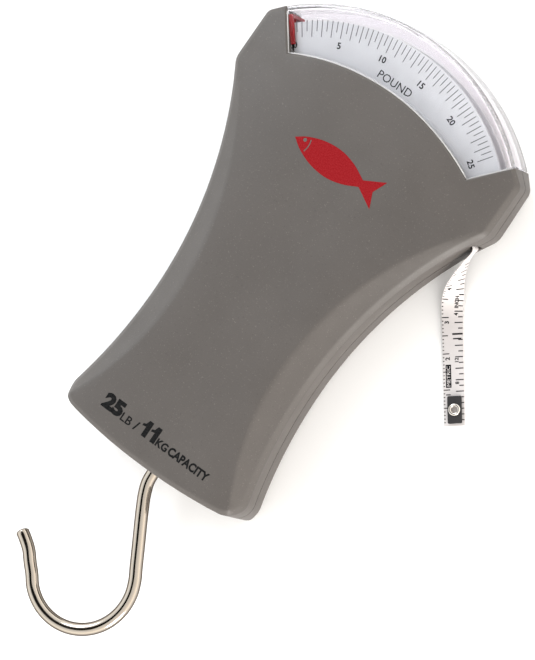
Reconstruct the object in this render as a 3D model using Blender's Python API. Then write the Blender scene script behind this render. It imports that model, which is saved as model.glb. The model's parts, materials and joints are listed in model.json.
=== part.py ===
"""Hand-held fish scale with a dial in a fan-shaped window, a draw hook and a built-in tape measure.

The scale lies on its back. +Z is the normal of its front face, +Y runs from the hook to the dial,
+X is to the right as the dial is read. The origin is on the rear face, behind the pointer's pivot.
Sizes are in millimetres here and are scaled to metres as each piece is made.
"""
import math

import bmesh
import bpy
from mathutils import Matrix, Vector

MM = 0.001
GAP = 0.3                      # clearance between pieces that touch

# case
THICKNESS = 22.0
SEAM_Z = THICKNESS / 2
WALL = 2.0
FACE_WALL = 1.9
LAND = 10.0                    # half width of the flat strip along each face
CROWN_DROP = 4.4               # how far a face falls from the strip to an ear
CROWN_SPAN = 35.0
TOP_DROP = 1.0                 # how far a face falls towards the window
TOP_DROP_FROM = 15.0
TOP_DROP_SPAN = 30.0
EDGE_Z = 17.4                  # height of the front edge where the grip scoops meet the wall
EDGE_BEVEL = (1.4, 0.9)        # width and depth of the bevel round the faces
EAR_X = 45.1
EAR_TOP_Y = 42.3
EAR_TOP_RADIUS = 3.0
EAR_LOW_RADIUS = 6.0
WAIST_Y = -38.0
WAIST_X = 26.95
UPPER_RADIUS = 122.7
LOWER_RADIUS = 140.0
BOTTOM_Y = -80.6
BOTTOM_RADIUS = 192.0
BOTTOM_CORNER_RADIUS = 5.5
SCOOP_Y = -37.0
SCOOP_X = 18.3
SCOOP_UPPER_RADIUS = 94.0
SCOOP_LOWER_RADIUS = 79.0

# window, lens and dials, all about the pointer's pivot
WINDOW_ANGLE = 41.6
WINDOW_ARC_Y = -26.8
WINDOW_ARC_RADIUS = 70.2
LENS_RADIUS = 61.6
LENS_INNER_RADIUS = 41.7
LENS_ANGLE = 41.15
THROAT_ANGLE = 41.5            # opening in the shells that the lens passes through
THROAT_RADIUS = 36.0
LENS_WALL = 1.2
LENS_Z = 17.4
LENS_EDGE = 1.0
DIAL_RADIUS = 56.9
DIAL_INNER_RADIUS = 37.0
DIAL_TAB_RADIUS = 45.2
DIAL_ANGLE = 41.0
DIAL_Z = (14.1, 15.0)
DIAL_POST = (31.5, 26.5)
POST_RADIUS = 2.2
ZERO_ANGLE = 40.7              # the pointer's rest, measured from +Y towards -X

# movement
MODULE = 1.0
PINION_TEETH = 12
PITCH_RADIUS = MODULE * PINION_TEETH / 2
PRESSURE_ANGLE = math.radians(25)
ADDENDUM = 0.8
DEDENDUM = 1.05
BACKLASH = 0.25
AXLE_RADIUS = 1.5
SLEEVE_RADIUS = 2.6
PLATE_FRONT_Z = (14.1, 15.1)
PLATE_REAR_Z = (6.9, 7.9)
STANDOFFS = ((-11.0, -15.0), (-11.0, 2.0), (14.5, -13.0))
SPRING_TOP_PIN_Y = -12.0
SPRING_LOW_PIN_Y = -56.8
PIN_RADIUS = 1.2
SPRING_WIRE_RADIUS = 0.9
SPRING_RADIUS = 4.2
SPRING_TURNS = 12
RACK_LEG_X = (PITCH_RADIUS + DEDENDUM, 10.5)
RACK_Z = (10.0, 12.0)

# hook
HOOK_X = 1.2
HOOK_RADIUS = 1.85
HOOK_TOP_Y = -63.2
HOOK_BEND_CENTRE = (0.8, -116.1)
HOOK_BEND_RADIUS = 15.4
BUSH_RADIUS = 3.4
FLANGE_RADIUS = 4.7

# tape measure
REEL = (22.3, 8.5)
REEL_RADIUS = 10.0
TAPE_WIDTH = 6.1
TAPE_THICKNESS = 0.3
END_PLATE_SHIFT = 0.3          # the end plate sits nearer the tape's inch edge
SLOT_AT = (42.2, 21.6)
SLOT_NORMAL = math.radians(-29.0)
SLOT_WIDTH = 1.8
# the free tape's centre line, and the turn of its flat side from edge-on at the slot to flat on the table
TAPE_ROUTE = (
    (40.9, 22.3, 11.0, -90), (41.6, 21.9, 11.0, -90), (42.35, 21.3, 11.0, -94), (42.6, 20.4, 10.95, -100),
    (42.35, 19.2, 10.8, -103), (41.95, 17.5, 10.35, -100), (41.7, 15.6, 9.5, -96), (41.4, 13.9, 8.4, -90),
    (41.2, 12.3, 7.0, -83), (41.1, 10.7, 5.65, -73), (41.15, 9.3, 4.4, -61), (41.4, 7.9, 3.3, -48),
    (41.85, 6.5, 2.4, -35), (42.8, 4.2, 1.4, -18), (45.05, 0.7, 0.68, -5), (49.4, -5.2, 0.45, 0),
    (53.9, -11.1, 0.4, 0), (58.3, -16.9, 0.4, 0), (62.7, -22.7, 0.4, 0))

# screws that hold the two halves of the case
CASE_SCREWS = ((-37.0, 31.0), (37.0, 31.0), (-19.5, -35.0), (19.5, -35.0), (-24.0, -70.0), (24.0, -70.0))
BOSS_RADIUS = 2.8
SCREW_RADIUS = 1.0
SCREW_HOLE_RADIUS = SCREW_RADIUS + GAP
HEAD_RADIUS = 1.9
HEAD_DEPTH = 2.6               # from the rear face to the bottom of a head's recess
PLATE_SCREW_Z = 3.6            # lowest point of the movement's screws

# grid spacing across X and Y of the crowned faces, outside and inside
OUTSIDE_GRID = (5.0, 10.0)
INSIDE_GRID = (10.0, 16.0)

AXIS = 0.0001                  # radius of a turned profile's points on its axis
PAST = 1.0                     # how far a cutter runs past the face it opens
SCALE = Matrix.Scale(MM, 4)


# ---------------------------------------------------------------- materials and collections

def clear_scene():
    for obj in list(bpy.data.objects):
        bpy.data.objects.remove(obj, do_unlink=True)


def collection(name):
    made = bpy.data.collections.new(name)
    bpy.context.scene.collection.children.link(made)
    return made


def material(name, color, roughness, metallic=0.0, alpha=1.0):
    made = bpy.data.materials.new(name)
    made.use_nodes = True
    shader = made.node_tree.nodes["Principled BSDF"]
    shader.inputs["Base Color"].default_value = (*color, 1.0)
    shader.inputs["Roughness"].default_value = roughness
    shader.inputs["Metallic"].default_value = metallic
    shader.inputs["Alpha"].default_value = alpha
    return made


def finish(obj, finish_material, smooth=True):
    """Scale a piece from millimetres to metres and give it its material."""
    obj.data.transform(SCALE)
    obj.location = Vector(obj.location) * MM
    obj.data.materials.clear()
    obj.data.materials.append(finish_material)
    if smooth:
        obj.data.shade_smooth()
        obj.data.set_sharp_from_angle(angle=math.radians(35))
    return obj


def mesh_object(name, bm, group):
    bmesh.ops.recalc_face_normals(bm, faces=bm.faces[:])
    mesh = bpy.data.meshes.new(name)
    bm.to_mesh(mesh)
    bm.free()
    obj = bpy.data.objects.new(name, mesh)
    group.objects.link(obj)
    return obj


# ---------------------------------------------------------------- shapes

def polar(radius, angle, centre=(0.0, 0.0)):
    """A point at an angle in degrees measured clockwise from +Y."""
    turn = math.radians(angle)
    return (centre[0] + radius * math.sin(turn), centre[1] + radius * math.cos(turn))


def arc(radius, start, end, steps, centre=(0.0, 0.0)):
    return [polar(radius, start + (end - start) * n / steps, centre) for n in range(steps + 1)]


def mirrored(half):
    """A closed outline from its right half, which runs from the axis to the axis."""
    left = [(-x, y) for x, y in reversed(half) if abs(x) > 1e-6]
    return half + left


def rounded(before, corner, after, radius, steps=3):
    """Points of a round corner between two straight runs."""
    here = Vector(corner)
    one = (Vector(before) - here).normalized()
    two = (Vector(after) - here).normalized()
    half_angle = one.angle(two) / 2
    reach = radius / math.tan(half_angle)
    middle = here + (one + two).normalized() * (radius / math.sin(half_angle))
    first = here + one * reach - middle
    turn = first.angle_signed(here + two * reach - middle)
    return [tuple(middle + Matrix.Rotation(-turn * n / steps, 2) @ first) for n in range(steps + 1)]


def prism(name, outline, low, high, group):
    """An upright solid over a flat outline, from a filled curve."""
    curve = bpy.data.curves.new(name, "CURVE")
    curve.dimensions = "2D"
    curve.fill_mode = "BOTH"
    curve.extrude = (high - low) / 2
    spline = curve.splines.new("POLY")
    spline.points.add(len(outline) - 1)
    for point, (x, y) in zip(spline.points, outline):
        point.co = (x, y, 0.0, 1.0)
    spline.use_cyclic_u = True
    obj = bpy.data.objects.new(name, curve)
    obj.location.z = (low + high) / 2
    group.objects.link(obj)
    return as_mesh(obj, group)


def as_mesh(obj, group):
    """Turn a curve object into a closed mesh object in the same place."""
    bpy.context.view_layer.update()
    evaluated = obj.evaluated_get(bpy.context.evaluated_depsgraph_get())
    mesh = bpy.data.meshes.new_from_object(evaluated)
    mesh.transform(obj.matrix_world)
    name = obj.name
    curve = obj.data
    bpy.data.objects.remove(obj)
    bpy.data.curves.remove(curve)
    bm = bmesh.new()
    bm.from_mesh(mesh)
    bpy.data.meshes.remove(mesh)
    bmesh.ops.remove_doubles(bm, verts=bm.verts[:], dist=1e-4)
    return mesh_object(name, bm, group)


def cylinder(name, radius, low, high, at, group, sides=20):
    bm = bmesh.new()
    bmesh.ops.create_cone(bm, cap_ends=True, segments=sides, radius1=radius, radius2=radius, depth=high - low)
    bmesh.ops.translate(bm, verts=bm.verts[:], vec=(at[0], at[1], (low + high) / 2))
    return mesh_object(name, bm, group)


def box(name, low, high, group):
    bm = bmesh.new()
    bmesh.ops.create_cube(bm, size=1.0)
    for vert in bm.verts:
        for axis in range(3):
            vert.co[axis] = low[axis] if vert.co[axis] < 0 else high[axis]
    return mesh_object(name, bm, group)


def turned(name, profile, at, group, axis="Z", sides=24):
    """A closed profile of (radius, height) points, turned about an axis through a point."""
    bm = bmesh.new()
    ring = [bm.verts.new((radius, 0.0, height)) for radius, height in profile]
    edges = [bm.edges.new((ring[n], ring[(n + 1) % len(ring)])) for n in range(len(ring))]
    bmesh.ops.spin(bm, geom=ring + edges, cent=(0, 0, 0), axis=(0, 0, 1), angle=2 * math.pi,
                   steps=sides, use_merge=True)
    bmesh.ops.remove_doubles(bm, verts=bm.verts[:], dist=1e-4)
    if axis == "Y":
        bmesh.ops.rotate(bm, verts=bm.verts[:], cent=(0, 0, 0), matrix=Matrix.Rotation(-math.pi / 2, 3, "X"))
    bmesh.ops.translate(bm, verts=bm.verts[:], vec=at)
    return mesh_object(name, bm, group)


def wire(name, route, radius, group, resolution=2):
    """A round wire along a list of points, with filled ends."""
    curve = bpy.data.curves.new(name, "CURVE")
    curve.dimensions = "3D"
    curve.bevel_depth = radius
    curve.bevel_resolution = resolution
    curve.use_fill_caps = True
    spline = curve.splines.new("POLY")
    spline.points.add(len(route) - 1)
    for point, place in zip(spline.points, route):
        point.co = (*place, 1.0)
    obj = bpy.data.objects.new(name, curve)
    group.objects.link(obj)
    return as_mesh(obj, group)


def boolean(obj, other, operation):
    """Apply one exact Boolean and remove the other solid."""
    modifier = obj.modifiers.new(operation, "BOOLEAN")
    modifier.operation = operation
    modifier.solver = "EXACT"
    modifier.object = other
    bpy.context.view_layer.update()
    evaluated = obj.evaluated_get(bpy.context.evaluated_depsgraph_get())
    mesh = bpy.data.meshes.new_from_object(evaluated)
    old = obj.data
    obj.modifiers.clear()
    obj.data = mesh
    bpy.data.meshes.remove(old)
    bpy.data.objects.remove(other)
    return obj


def cut(obj, *tools):
    for tool in tools:
        boolean(obj, tool, "DIFFERENCE")
    return obj


def join(obj, *others):
    for other in others:
        boolean(obj, other, "UNION")
    return obj


def smooth_route(anchors, spacing):
    """Points at about equal spacing along a Catmull-Rom curve through anchors of three or four numbers."""
    points = [Vector(a) for a in anchors]
    ends = [points[0] * 2 - points[1]] + points + [points[-1] * 2 - points[-2]]
    route = []
    for n in range(1, len(ends) - 2):
        a, b, c, d = ends[n - 1:n + 3]
        steps = max(1, round((c.xyz - b.xyz).length / spacing))
        for k in range(steps):
            t = k / steps
            route.append(0.5 * (2 * b + (c - a) * t + (2 * a - 5 * b + 4 * c - d) * t ** 2
                                + (3 * b - a - 3 * c + d) * t ** 3))
    route.append(points[-1])
    return route


# ---------------------------------------------------------------- case

def half_width(y):
    """Half the width of the case at a height y, on its concave sides."""
    radius = UPPER_RADIUS if y > WAIST_Y else LOWER_RADIUS
    side = WAIST_X + radius - math.sqrt(radius ** 2 - (y - WAIST_Y) ** 2)
    return min(side, EAR_X)


def scoop_x(y):
    """Where the grip scoop starts on the face at a height y."""
    radius = SCOOP_UPPER_RADIUS if y > SCOOP_Y else SCOOP_LOWER_RADIUS
    return SCOOP_X + radius - math.sqrt(radius ** 2 - (y - SCOOP_Y) ** 2)


def crown(x, y):
    side = max(0.0, abs(x) - LAND) / CROWN_SPAN
    top = max(0.0, y - TOP_DROP_FROM) / TOP_DROP_SPAN
    return THICKNESS - CROWN_DROP * side ** 2 - TOP_DROP * top ** 2


def face_height(x, y):
    """Height of the front face: a shallow crown, cut down by a dished scoop at each side of the waist."""
    start = scoop_x(y)
    end = half_width(y)
    if abs(x) <= start or start >= end:
        return crown(x, y)
    share = min(1.0, (abs(x) - start) / (end - start))
    dish = 1.25 * share - 0.25 * share ** 2
    return crown(start, y) + (EDGE_Z - crown(start, y)) * dish


def window_corner():
    """Where the side of the window meets its inner arc."""
    low, high = 0.0, LENS_RADIUS
    for _ in range(40):
        middle = (low + high) / 2
        x, y = polar(middle, WINDOW_ANGLE)
        if math.hypot(x, y - WINDOW_ARC_Y) < WINDOW_ARC_RADIUS:
            low = middle
        else:
            high = middle
    return polar(low, WINDOW_ANGLE)


def ear_low_y():
    """Height at which the concave side reaches the full width of the ear."""
    return WAIST_Y + math.sqrt(UPPER_RADIUS ** 2 - (WAIST_X + UPPER_RADIUS - EAR_X) ** 2)


def bottom_y(x):
    return BOTTOM_Y + BOTTOM_RADIUS - math.sqrt(BOTTOM_RADIUS ** 2 - x ** 2)


def case_outline():
    inner = window_corner()
    centre = (0.0, WINDOW_ARC_Y)
    reach = math.degrees(math.asin(inner[0] / WINDOW_ARC_RADIUS))
    half = arc(WINDOW_ARC_RADIUS, 0.0, reach, 8, centre)
    lens_end = polar(LENS_RADIUS, WINDOW_ANGLE)
    half.append(lens_end)
    ear_low = ear_low_y()
    half += rounded(lens_end, (EAR_X, EAR_TOP_Y), (EAR_X, ear_low), EAR_TOP_RADIUS)
    side_y = ear_low - 6.0
    half += rounded((EAR_X, EAR_TOP_Y), (EAR_X, ear_low), (half_width(side_y), side_y), EAR_LOW_RADIUS)
    steps = 9
    for n in range(steps + 1):
        y = side_y + (WAIST_Y - side_y) * n / steps
        half.append((half_width(y), y))
    corner_y = bottom_y(half_width(BOTTOM_Y))
    steps = 6
    for n in range(1, steps):
        y = WAIST_Y + (corner_y - WAIST_Y) * n / steps
        half.append((half_width(y), y))
    corner_x = half_width(corner_y)
    run = BOTTOM_CORNER_RADIUS * 1.4
    half += rounded((half_width(corner_y + run), corner_y + run), (corner_x, bottom_y(corner_x)),
                    (corner_x - run, bottom_y(corner_x - run)), BOTTOM_CORNER_RADIUS)
    for n in range(4, -1, -1):
        x = (corner_x - run) * n / 4
        half.append((x, bottom_y(x)))
    return mirrored(half)


def crowned_solid(name, outline, height, base, cell, bevel, group):
    """A solid over an outline: flat below at base, and above it follows height(x, y) on a grid."""
    bm = bmesh.new()
    face = bm.faces.new([bm.verts.new((x, y, 0.0)) for x, y in outline])
    bm.normal_update()
    if bevel:
        bmesh.ops.inset_region(bm, faces=[face], thickness=bevel[0], use_boundary=True,
                               use_even_offset=True)
    rim = {v for v in bm.verts if v.is_boundary}
    inner = [f for f in bm.faces if not any(v in rim for v in f.verts)] or bm.faces[:]
    for axis in (0, 1):
        reach = max(abs(p[axis]) for p in outline)
        count = int(reach / cell[axis])
        for n in range(-count, count + 1):
            normal = [0.0, 0.0, 0.0]
            normal[axis] = 1.0
            place = [0.0, 0.0, 0.0]
            place[axis] = n * cell[axis]
            faces = [f for f in inner if f.is_valid]
            edges = list({e for f in faces for e in f.edges})
            verts = list({v for f in faces for v in f.verts})
            made = bmesh.ops.bisect_plane(bm, geom=faces + edges + verts, dist=0.02,
                                          plane_co=place, plane_no=normal)
            inner = list({f for f in made["geom"] if isinstance(f, bmesh.types.BMFace)})
    bmesh.ops.triangulate(bm, faces=bm.faces[:])
    for vert in bm.verts:
        drop = bevel[1] if bevel and vert in rim else 0.0
        vert.co.z = height(vert.co.x, vert.co.y) - drop
    border = [e for e in bm.edges if e.is_boundary]
    made = bmesh.ops.extrude_edge_only(bm, edges=border)["geom"]
    low_edges = [g for g in made if isinstance(g, bmesh.types.BMEdge) and g.is_boundary]
    for vert in [g for g in made if isinstance(g, bmesh.types.BMVert)]:
        vert.co.z = base
    bottom = bmesh.ops.contextual_create(bm, geom=low_edges)["faces"]
    bmesh.ops.triangulate(bm, faces=bottom)
    return mesh_object(name, bm, group)


def inset_outline(outline, distance):
    """The outline moved inwards by a distance."""
    bm = bmesh.new()
    bm.faces.new([bm.verts.new((x, y, 0.0)) for x, y in outline])
    bm.normal_update()
    bmesh.ops.inset_region(bm, faces=bm.faces[:], thickness=distance, use_boundary=True,
                           use_even_offset=True)
    inner = next(f for f in bm.faces if not any(v.is_boundary for v in f.verts))
    points = [tuple(v.co.xy) for v in inner.verts]
    bm.free()
    return points


def sector(inner, outer, angle, steps=12):
    return arc(outer, -angle, angle, steps) + arc(inner, angle, -angle, steps)


def slot_box(name, depth, width, height, group):
    """A box on the tape slot's centre line: depth along the wall's normal, width along the wall."""
    half = (depth / 2, width / 2, height / 2)
    solid = box(name, [-h for h in half], half, group)
    place = Matrix.Translation((SLOT_AT[0], SLOT_AT[1], SEAM_Z)) @ Matrix.Rotation(SLOT_NORMAL, 4, "Z")
    solid.data.transform(place)
    return solid


def case_half(name, group, cutters):
    """The front half of the case without its bosses."""
    outline = case_outline()
    shell = crowned_solid(name, outline, face_height, SEAM_Z + GAP / 2, OUTSIDE_GRID, EDGE_BEVEL, group)
    hollow = crowned_solid("hollow", inset_outline(outline, WALL), lambda x, y: face_height(x, y) - FACE_WALL,
                           SEAM_Z - PAST, INSIDE_GRID, None, cutters)
    throat = prism("throat", sector(THROAT_RADIUS, LENS_RADIUS + PAST, THROAT_ANGLE),
                   SEAM_Z - PAST, LENS_Z + GAP, cutters)
    radius = BUSH_RADIUS + GAP
    bore = turned("hook_bore", [(AXIS, -4), (radius, -4), (radius, 4), (AXIS, 4)], (HOOK_X, BOTTOM_Y, SEAM_Z),
                  cutters, axis="Y")
    slot = slot_box("tape_slot", WALL * 4, SLOT_WIDTH, TAPE_WIDTH + 1.2, cutters)
    return cut(shell, hollow, throat, bore, slot)


def post_points():
    return [(side * DIAL_POST[0], DIAL_POST[1]) for side in (-1, 1)]


def front_housing(group, cutters, plastic):
    """The front half, with a blind screw boss at each case screw and a seat over each dial post."""
    shell = case_half("front_housing", group, cutters)
    seats = [(at, BOSS_RADIUS, SEAM_Z + GAP / 2) for at in CASE_SCREWS]
    seats += [(at, POST_RADIUS, DIAL_Z[1] + GAP) for at in post_points()]
    for at, radius, low in seats:
        join(shell, cylinder("boss", radius, low, face_height(*at) - FACE_WALL / 2, at, cutters))
    for at in CASE_SCREWS:
        end = face_height(*at) - FACE_WALL * 1.5
        cut(shell, cylinder("hole", SCREW_HOLE_RADIUS, SEAM_Z - PAST, end, at, cutters, sides=12))
    return finish(shell, plastic)


def rear_housing(group, cutters, plastic):
    """The rear half, with through bosses for the case screws and seats for the movement and the dial."""
    shell = case_half("rear_housing", group, cutters)
    mirror = Matrix.Translation((0, 0, THICKNESS)) @ Matrix.Scale(-1, 4, (0, 0, 1))
    shell.data.transform(mirror)
    shell.data.flip_normals()
    seats = [(at, BOSS_RADIUS, SEAM_Z - GAP / 2) for at in CASE_SCREWS]
    seats += [(at, POST_RADIUS, THICKNESS - DIAL_Z[1] - GAP) for at in post_points()]
    seats += [(at, BOSS_RADIUS, PLATE_REAR_Z[0] - GAP) for at in STANDOFFS]
    for at, radius, top in seats:
        join(shell, cylinder("boss", radius, THICKNESS - face_height(*at) + FACE_WALL / 2, top, at, cutters))
    for at in STANDOFFS:
        cut(shell, cylinder("hole", SCREW_HOLE_RADIUS, PLATE_SCREW_Z - GAP, PLATE_REAR_Z[0], at, cutters, sides=12))
    for at in CASE_SCREWS:
        base = THICKNESS - face_height(*at)
        cut(shell, cylinder("shaft_hole", SCREW_HOLE_RADIUS, -PAST, SEAM_Z, at, cutters, sides=12))
        cut(shell, cylinder("head_recess", HEAD_RADIUS + GAP, -PAST, base + HEAD_DEPTH, at, cutters, sides=16))
    return finish(shell, plastic)


def case_screws(group, steel):
    """Screws from the back; each is a round head at the bottom of its recess and a shank to the front boss."""
    for number, at in enumerate(CASE_SCREWS, 1):
        head = THICKNESS - face_height(*at) + HEAD_DEPTH - GAP
        tip = face_height(*at) - FACE_WALL * 2.5
        profile = [(AXIS, tip), (SCREW_RADIUS, tip - 1), (SCREW_RADIUS, head), (HEAD_RADIUS, head),
                   (HEAD_RADIUS, head - 1.3), (HEAD_RADIUS - 0.4, head - 1.7), (AXIS, head - 1.7)]
        screw = turned("case_screw_%d" % number, profile, (at[0], at[1], 0.0), group, sides=16)
        finish(screw, steel)


# ---------------------------------------------------------------- window and dials

def dial_lens(group, clear):
    """The clear cover: a front pane, a rim over the top and a rear pane, as one arched channel."""
    rear = THICKNESS - LENS_Z
    outside = [(LENS_INNER_RADIUS, LENS_Z), (LENS_RADIUS - LENS_EDGE, LENS_Z),
               (LENS_RADIUS, LENS_Z - LENS_EDGE), (LENS_RADIUS, rear + LENS_EDGE),
               (LENS_RADIUS - LENS_EDGE, rear), (LENS_INNER_RADIUS, rear)]
    inside = [(LENS_INNER_RADIUS, rear + LENS_WALL), (LENS_RADIUS - LENS_EDGE - 1, rear + LENS_WALL),
              (LENS_RADIUS - LENS_WALL, rear + LENS_WALL + LENS_EDGE),
              (LENS_RADIUS - LENS_WALL, LENS_Z - LENS_WALL - LENS_EDGE),
              (LENS_RADIUS - LENS_EDGE - 1, LENS_Z - LENS_WALL), (LENS_INNER_RADIUS, LENS_Z - LENS_WALL)]
    bm = bmesh.new()
    ring = [bm.verts.new((radius, 0.0, height)) for radius, height in outside + inside]
    section = bm.faces.new(ring)
    bmesh.ops.rotate(bm, verts=ring, cent=(0, 0, 0), matrix=Matrix.Rotation(math.radians(90 - LENS_ANGLE), 3, "Z"))
    bmesh.ops.spin(bm, geom=[section], cent=(0, 0, 0), axis=(0, 0, 1), angle=math.radians(2 * LENS_ANGLE), steps=24)
    return finish(mesh_object("dial_lens", bm, group), clear)


def dial_outline():
    """A fan with a rounded tab at each lower corner."""
    half = arc(DIAL_RADIUS, 0.0, DIAL_ANGLE, 10)
    half.append(polar(DIAL_TAB_RADIUS, DIAL_ANGLE))
    half += arc(3.2, 40.0, 200.0, 6, DIAL_POST)
    half += arc(DIAL_INNER_RADIUS, 44.0, 0.0, 8)
    return mirrored(half)


def dials(group, white, steel):
    for name, low, high in (("front_dial", *DIAL_Z), ("rear_dial", THICKNESS - DIAL_Z[1], THICKNESS - DIAL_Z[0])):
        finish(prism(name, dial_outline(), low, high, group), white, smooth=False)
    low = THICKNESS - DIAL_Z[0] + GAP
    for name, at in zip(("dial_post_left", "dial_post_right"), post_points()):
        finish(cylinder(name, POST_RADIUS, low, DIAL_Z[0] - GAP, at, group), steel)


# ---------------------------------------------------------------- movement

def movement_plate(name, span, group, cutters, steel):
    outline = [(-14.0, -18.5), (17.8, -18.5), (17.8, -9.0), (11.4, -4.0), (11.4, 8.0), (4.0, 8.0),
               (-7.0, 8.0), (-14.0, 5.0)]
    plate = prism(name, outline, *span, group)
    holes = [(at, SCREW_HOLE_RADIUS) for at in STANDOFFS]
    holes += [((0.0, 0.0), AXLE_RADIUS + GAP), ((0.0, SPRING_TOP_PIN_Y), PIN_RADIUS + GAP)]
    for at, radius in holes:
        cut(plate, cylinder("plate_hole", radius, span[0] - PAST, span[1] + PAST, at, cutters, sides=12))
    return finish(plate, steel, smooth=False)


def movement_frame(group, cutters, steel, brass, nylon):
    movement_plate("front_movement_plate", PLATE_FRONT_Z, group, cutters, steel)
    movement_plate("rear_movement_plate", PLATE_REAR_Z, group, cutters, steel)
    low = PLATE_REAR_Z[1] + GAP
    high = PLATE_FRONT_Z[0] - GAP
    for number, at in enumerate(STANDOFFS, 1):
        place = (at[0], at[1], 0.0)
        tube = [(SCREW_HOLE_RADIUS, low), (2.4, low), (2.4, high), (SCREW_HOLE_RADIUS, high)]
        finish(turned("movement_standoff_%d" % number, tube, place, group, sides=16), brass)
        head = PLATE_FRONT_Z[1] + GAP
        screw = [(AXIS, PLATE_SCREW_Z), (SCREW_RADIUS, PLATE_SCREW_Z), (SCREW_RADIUS, head), (2.0, head),
                 (2.0, head + 0.9), (1.6, head + 1.2), (AXIS, head + 1.2)]
        finish(turned("movement_screw_%d" % number, screw, place, group, sides=16), steel)
    axle_top = PLATE_FRONT_Z[1] + 1.4
    finish(cylinder("pointer_axle", AXLE_RADIUS, PLATE_REAR_Z[0] - 1.4, axle_top, (0, 0), group), steel)
    clip = [(AXLE_RADIUS + 0.1, axle_top - 0.9), (3.2, axle_top - 0.9), (3.2, axle_top - 0.3),
            (AXLE_RADIUS + 0.1, axle_top - 0.3)]
    finish(turned("axle_clip", clip, (0, 0, 0), group), steel)
    pin = cylinder("spring_anchor_pin", PIN_RADIUS, PLATE_REAR_Z[0] - 0.4, PLATE_FRONT_Z[1] + 0.4,
                   (0, SPRING_TOP_PIN_Y), group, sides=16)
    finish(pin, steel)
    guide = box("rack_guide", (RACK_LEG_X[1] + GAP, -7.0, low), (13.5, 3.0, high), group)
    finish(guide, nylon, smooth=False)


def involute_tooth():
    """Half-thickness angle of a pinion tooth against radius."""
    base = PITCH_RADIUS * math.cos(PRESSURE_ANGLE)
    pitch_half = (math.pi * MODULE / 2 - BACKLASH) / 2 / PITCH_RADIUS

    def half_angle(radius):
        turn = math.acos(min(1.0, base / radius))
        return pitch_half + (math.tan(PRESSURE_ANGLE) - PRESSURE_ANGLE) - (math.tan(turn) - turn)

    return base, half_angle


def pinion_outline():
    """Involute teeth; a tooth space faces +X so that a rack tooth can enter it."""
    base, half_angle = involute_tooth()
    tip = PITCH_RADIUS + ADDENDUM
    root = PITCH_RADIUS - DEDENDUM
    radii = [root, max(base, root) + 0.02]
    radii += [radii[1] + (tip - radii[1]) * n / 3 for n in range(1, 4)]
    points = []
    for tooth in range(PINION_TEETH):
        middle = 2 * math.pi * (tooth + 0.5) / PINION_TEETH
        flank = [(r, half_angle(max(r, radii[1]))) for r in radii]
        for radius, half in flank:
            points.append((radius * math.cos(middle - half), radius * math.sin(middle - half)))
        for radius, half in reversed(flank):
            points.append((radius * math.cos(middle + half), radius * math.sin(middle + half)))
    return points


def pointer_outline():
    """The arm pointing along +Y: a round hub and a slim arm, narrowest where it enters the throat."""
    hub = arc(4.2, 20.0, 340.0, 14)
    arm = [(-0.4, 34.0), (-0.6, 52.0), (-0.6, 59.2), (0.6, 59.2), (0.6, 52.0), (0.4, 34.0)]
    return hub + arm


def pointer(group, cutters, red, brass, nylon):
    """The pinion, its sleeve and the forked pointer turn together on the axle."""
    pinion = prism("pinion", pinion_outline(), 9.6, 12.4, group)
    cut(pinion, cylinder("bore", SLEEVE_RADIUS + GAP, 9, 13, (0, 0), cutters))
    finish(pinion, nylon)
    low = PLATE_REAR_Z[1] + GAP
    high = PLATE_FRONT_Z[0] - 0.1
    sleeve = [(AXLE_RADIUS + GAP, low), (SLEEVE_RADIUS, low), (SLEEVE_RADIUS, high), (AXLE_RADIUS + GAP, high)]
    finish(turned("pointer_sleeve", sleeve, (0, 0, 0), group), brass)
    arm = prism("pointer", pointer_outline(), 12.8, 13.6, group)
    cut(arm, cylinder("bore", SLEEVE_RADIUS + GAP, 12, 14, (0, 0), cutters))
    rise = DIAL_Z[1] + GAP
    join(arm, box("rim_bar", (-0.6, 58.2, THICKNESS - rise - 0.8), (0.6, 59.2, rise + 0.8), cutters))
    for low_z in (rise, THICKNESS - rise - 0.8):
        tip = [(-0.6, 59.2), (0.6, 59.2), (0.6, 54.5), (0.45, 50.8), (-0.45, 50.8), (-0.6, 54.5)]
        join(arm, prism("tip", tip, low_z, low_z + 0.8, cutters))
    arm.data.transform(Matrix.Rotation(math.radians(ZERO_ANGLE), 4, "Z"))
    finish(arm, red, smooth=False)


def rack_outline():
    """The draw bar's long leg, with rack teeth that face the pinion."""
    root = PITCH_RADIUS + DEDENDUM
    tip = PITCH_RADIUS - ADDENDUM
    lean = math.tan(PRESSURE_ANGLE)
    half = (math.pi * MODULE / 2 - BACKLASH) / 2
    points = [(RACK_LEG_X[1], 12.9), (RACK_LEG_X[1], -68.0), (root, -68.0)]
    for tooth in range(-1, 5):
        middle = tooth * math.pi * MODULE
        for x, sign in ((root, -1), (tip, -1), (tip, 1), (root, 1)):
            points.append((x, middle + sign * (half + (x - PITCH_RADIUS) * lean)))
    points.append((root, 12.9))
    return points[::-1]


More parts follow.
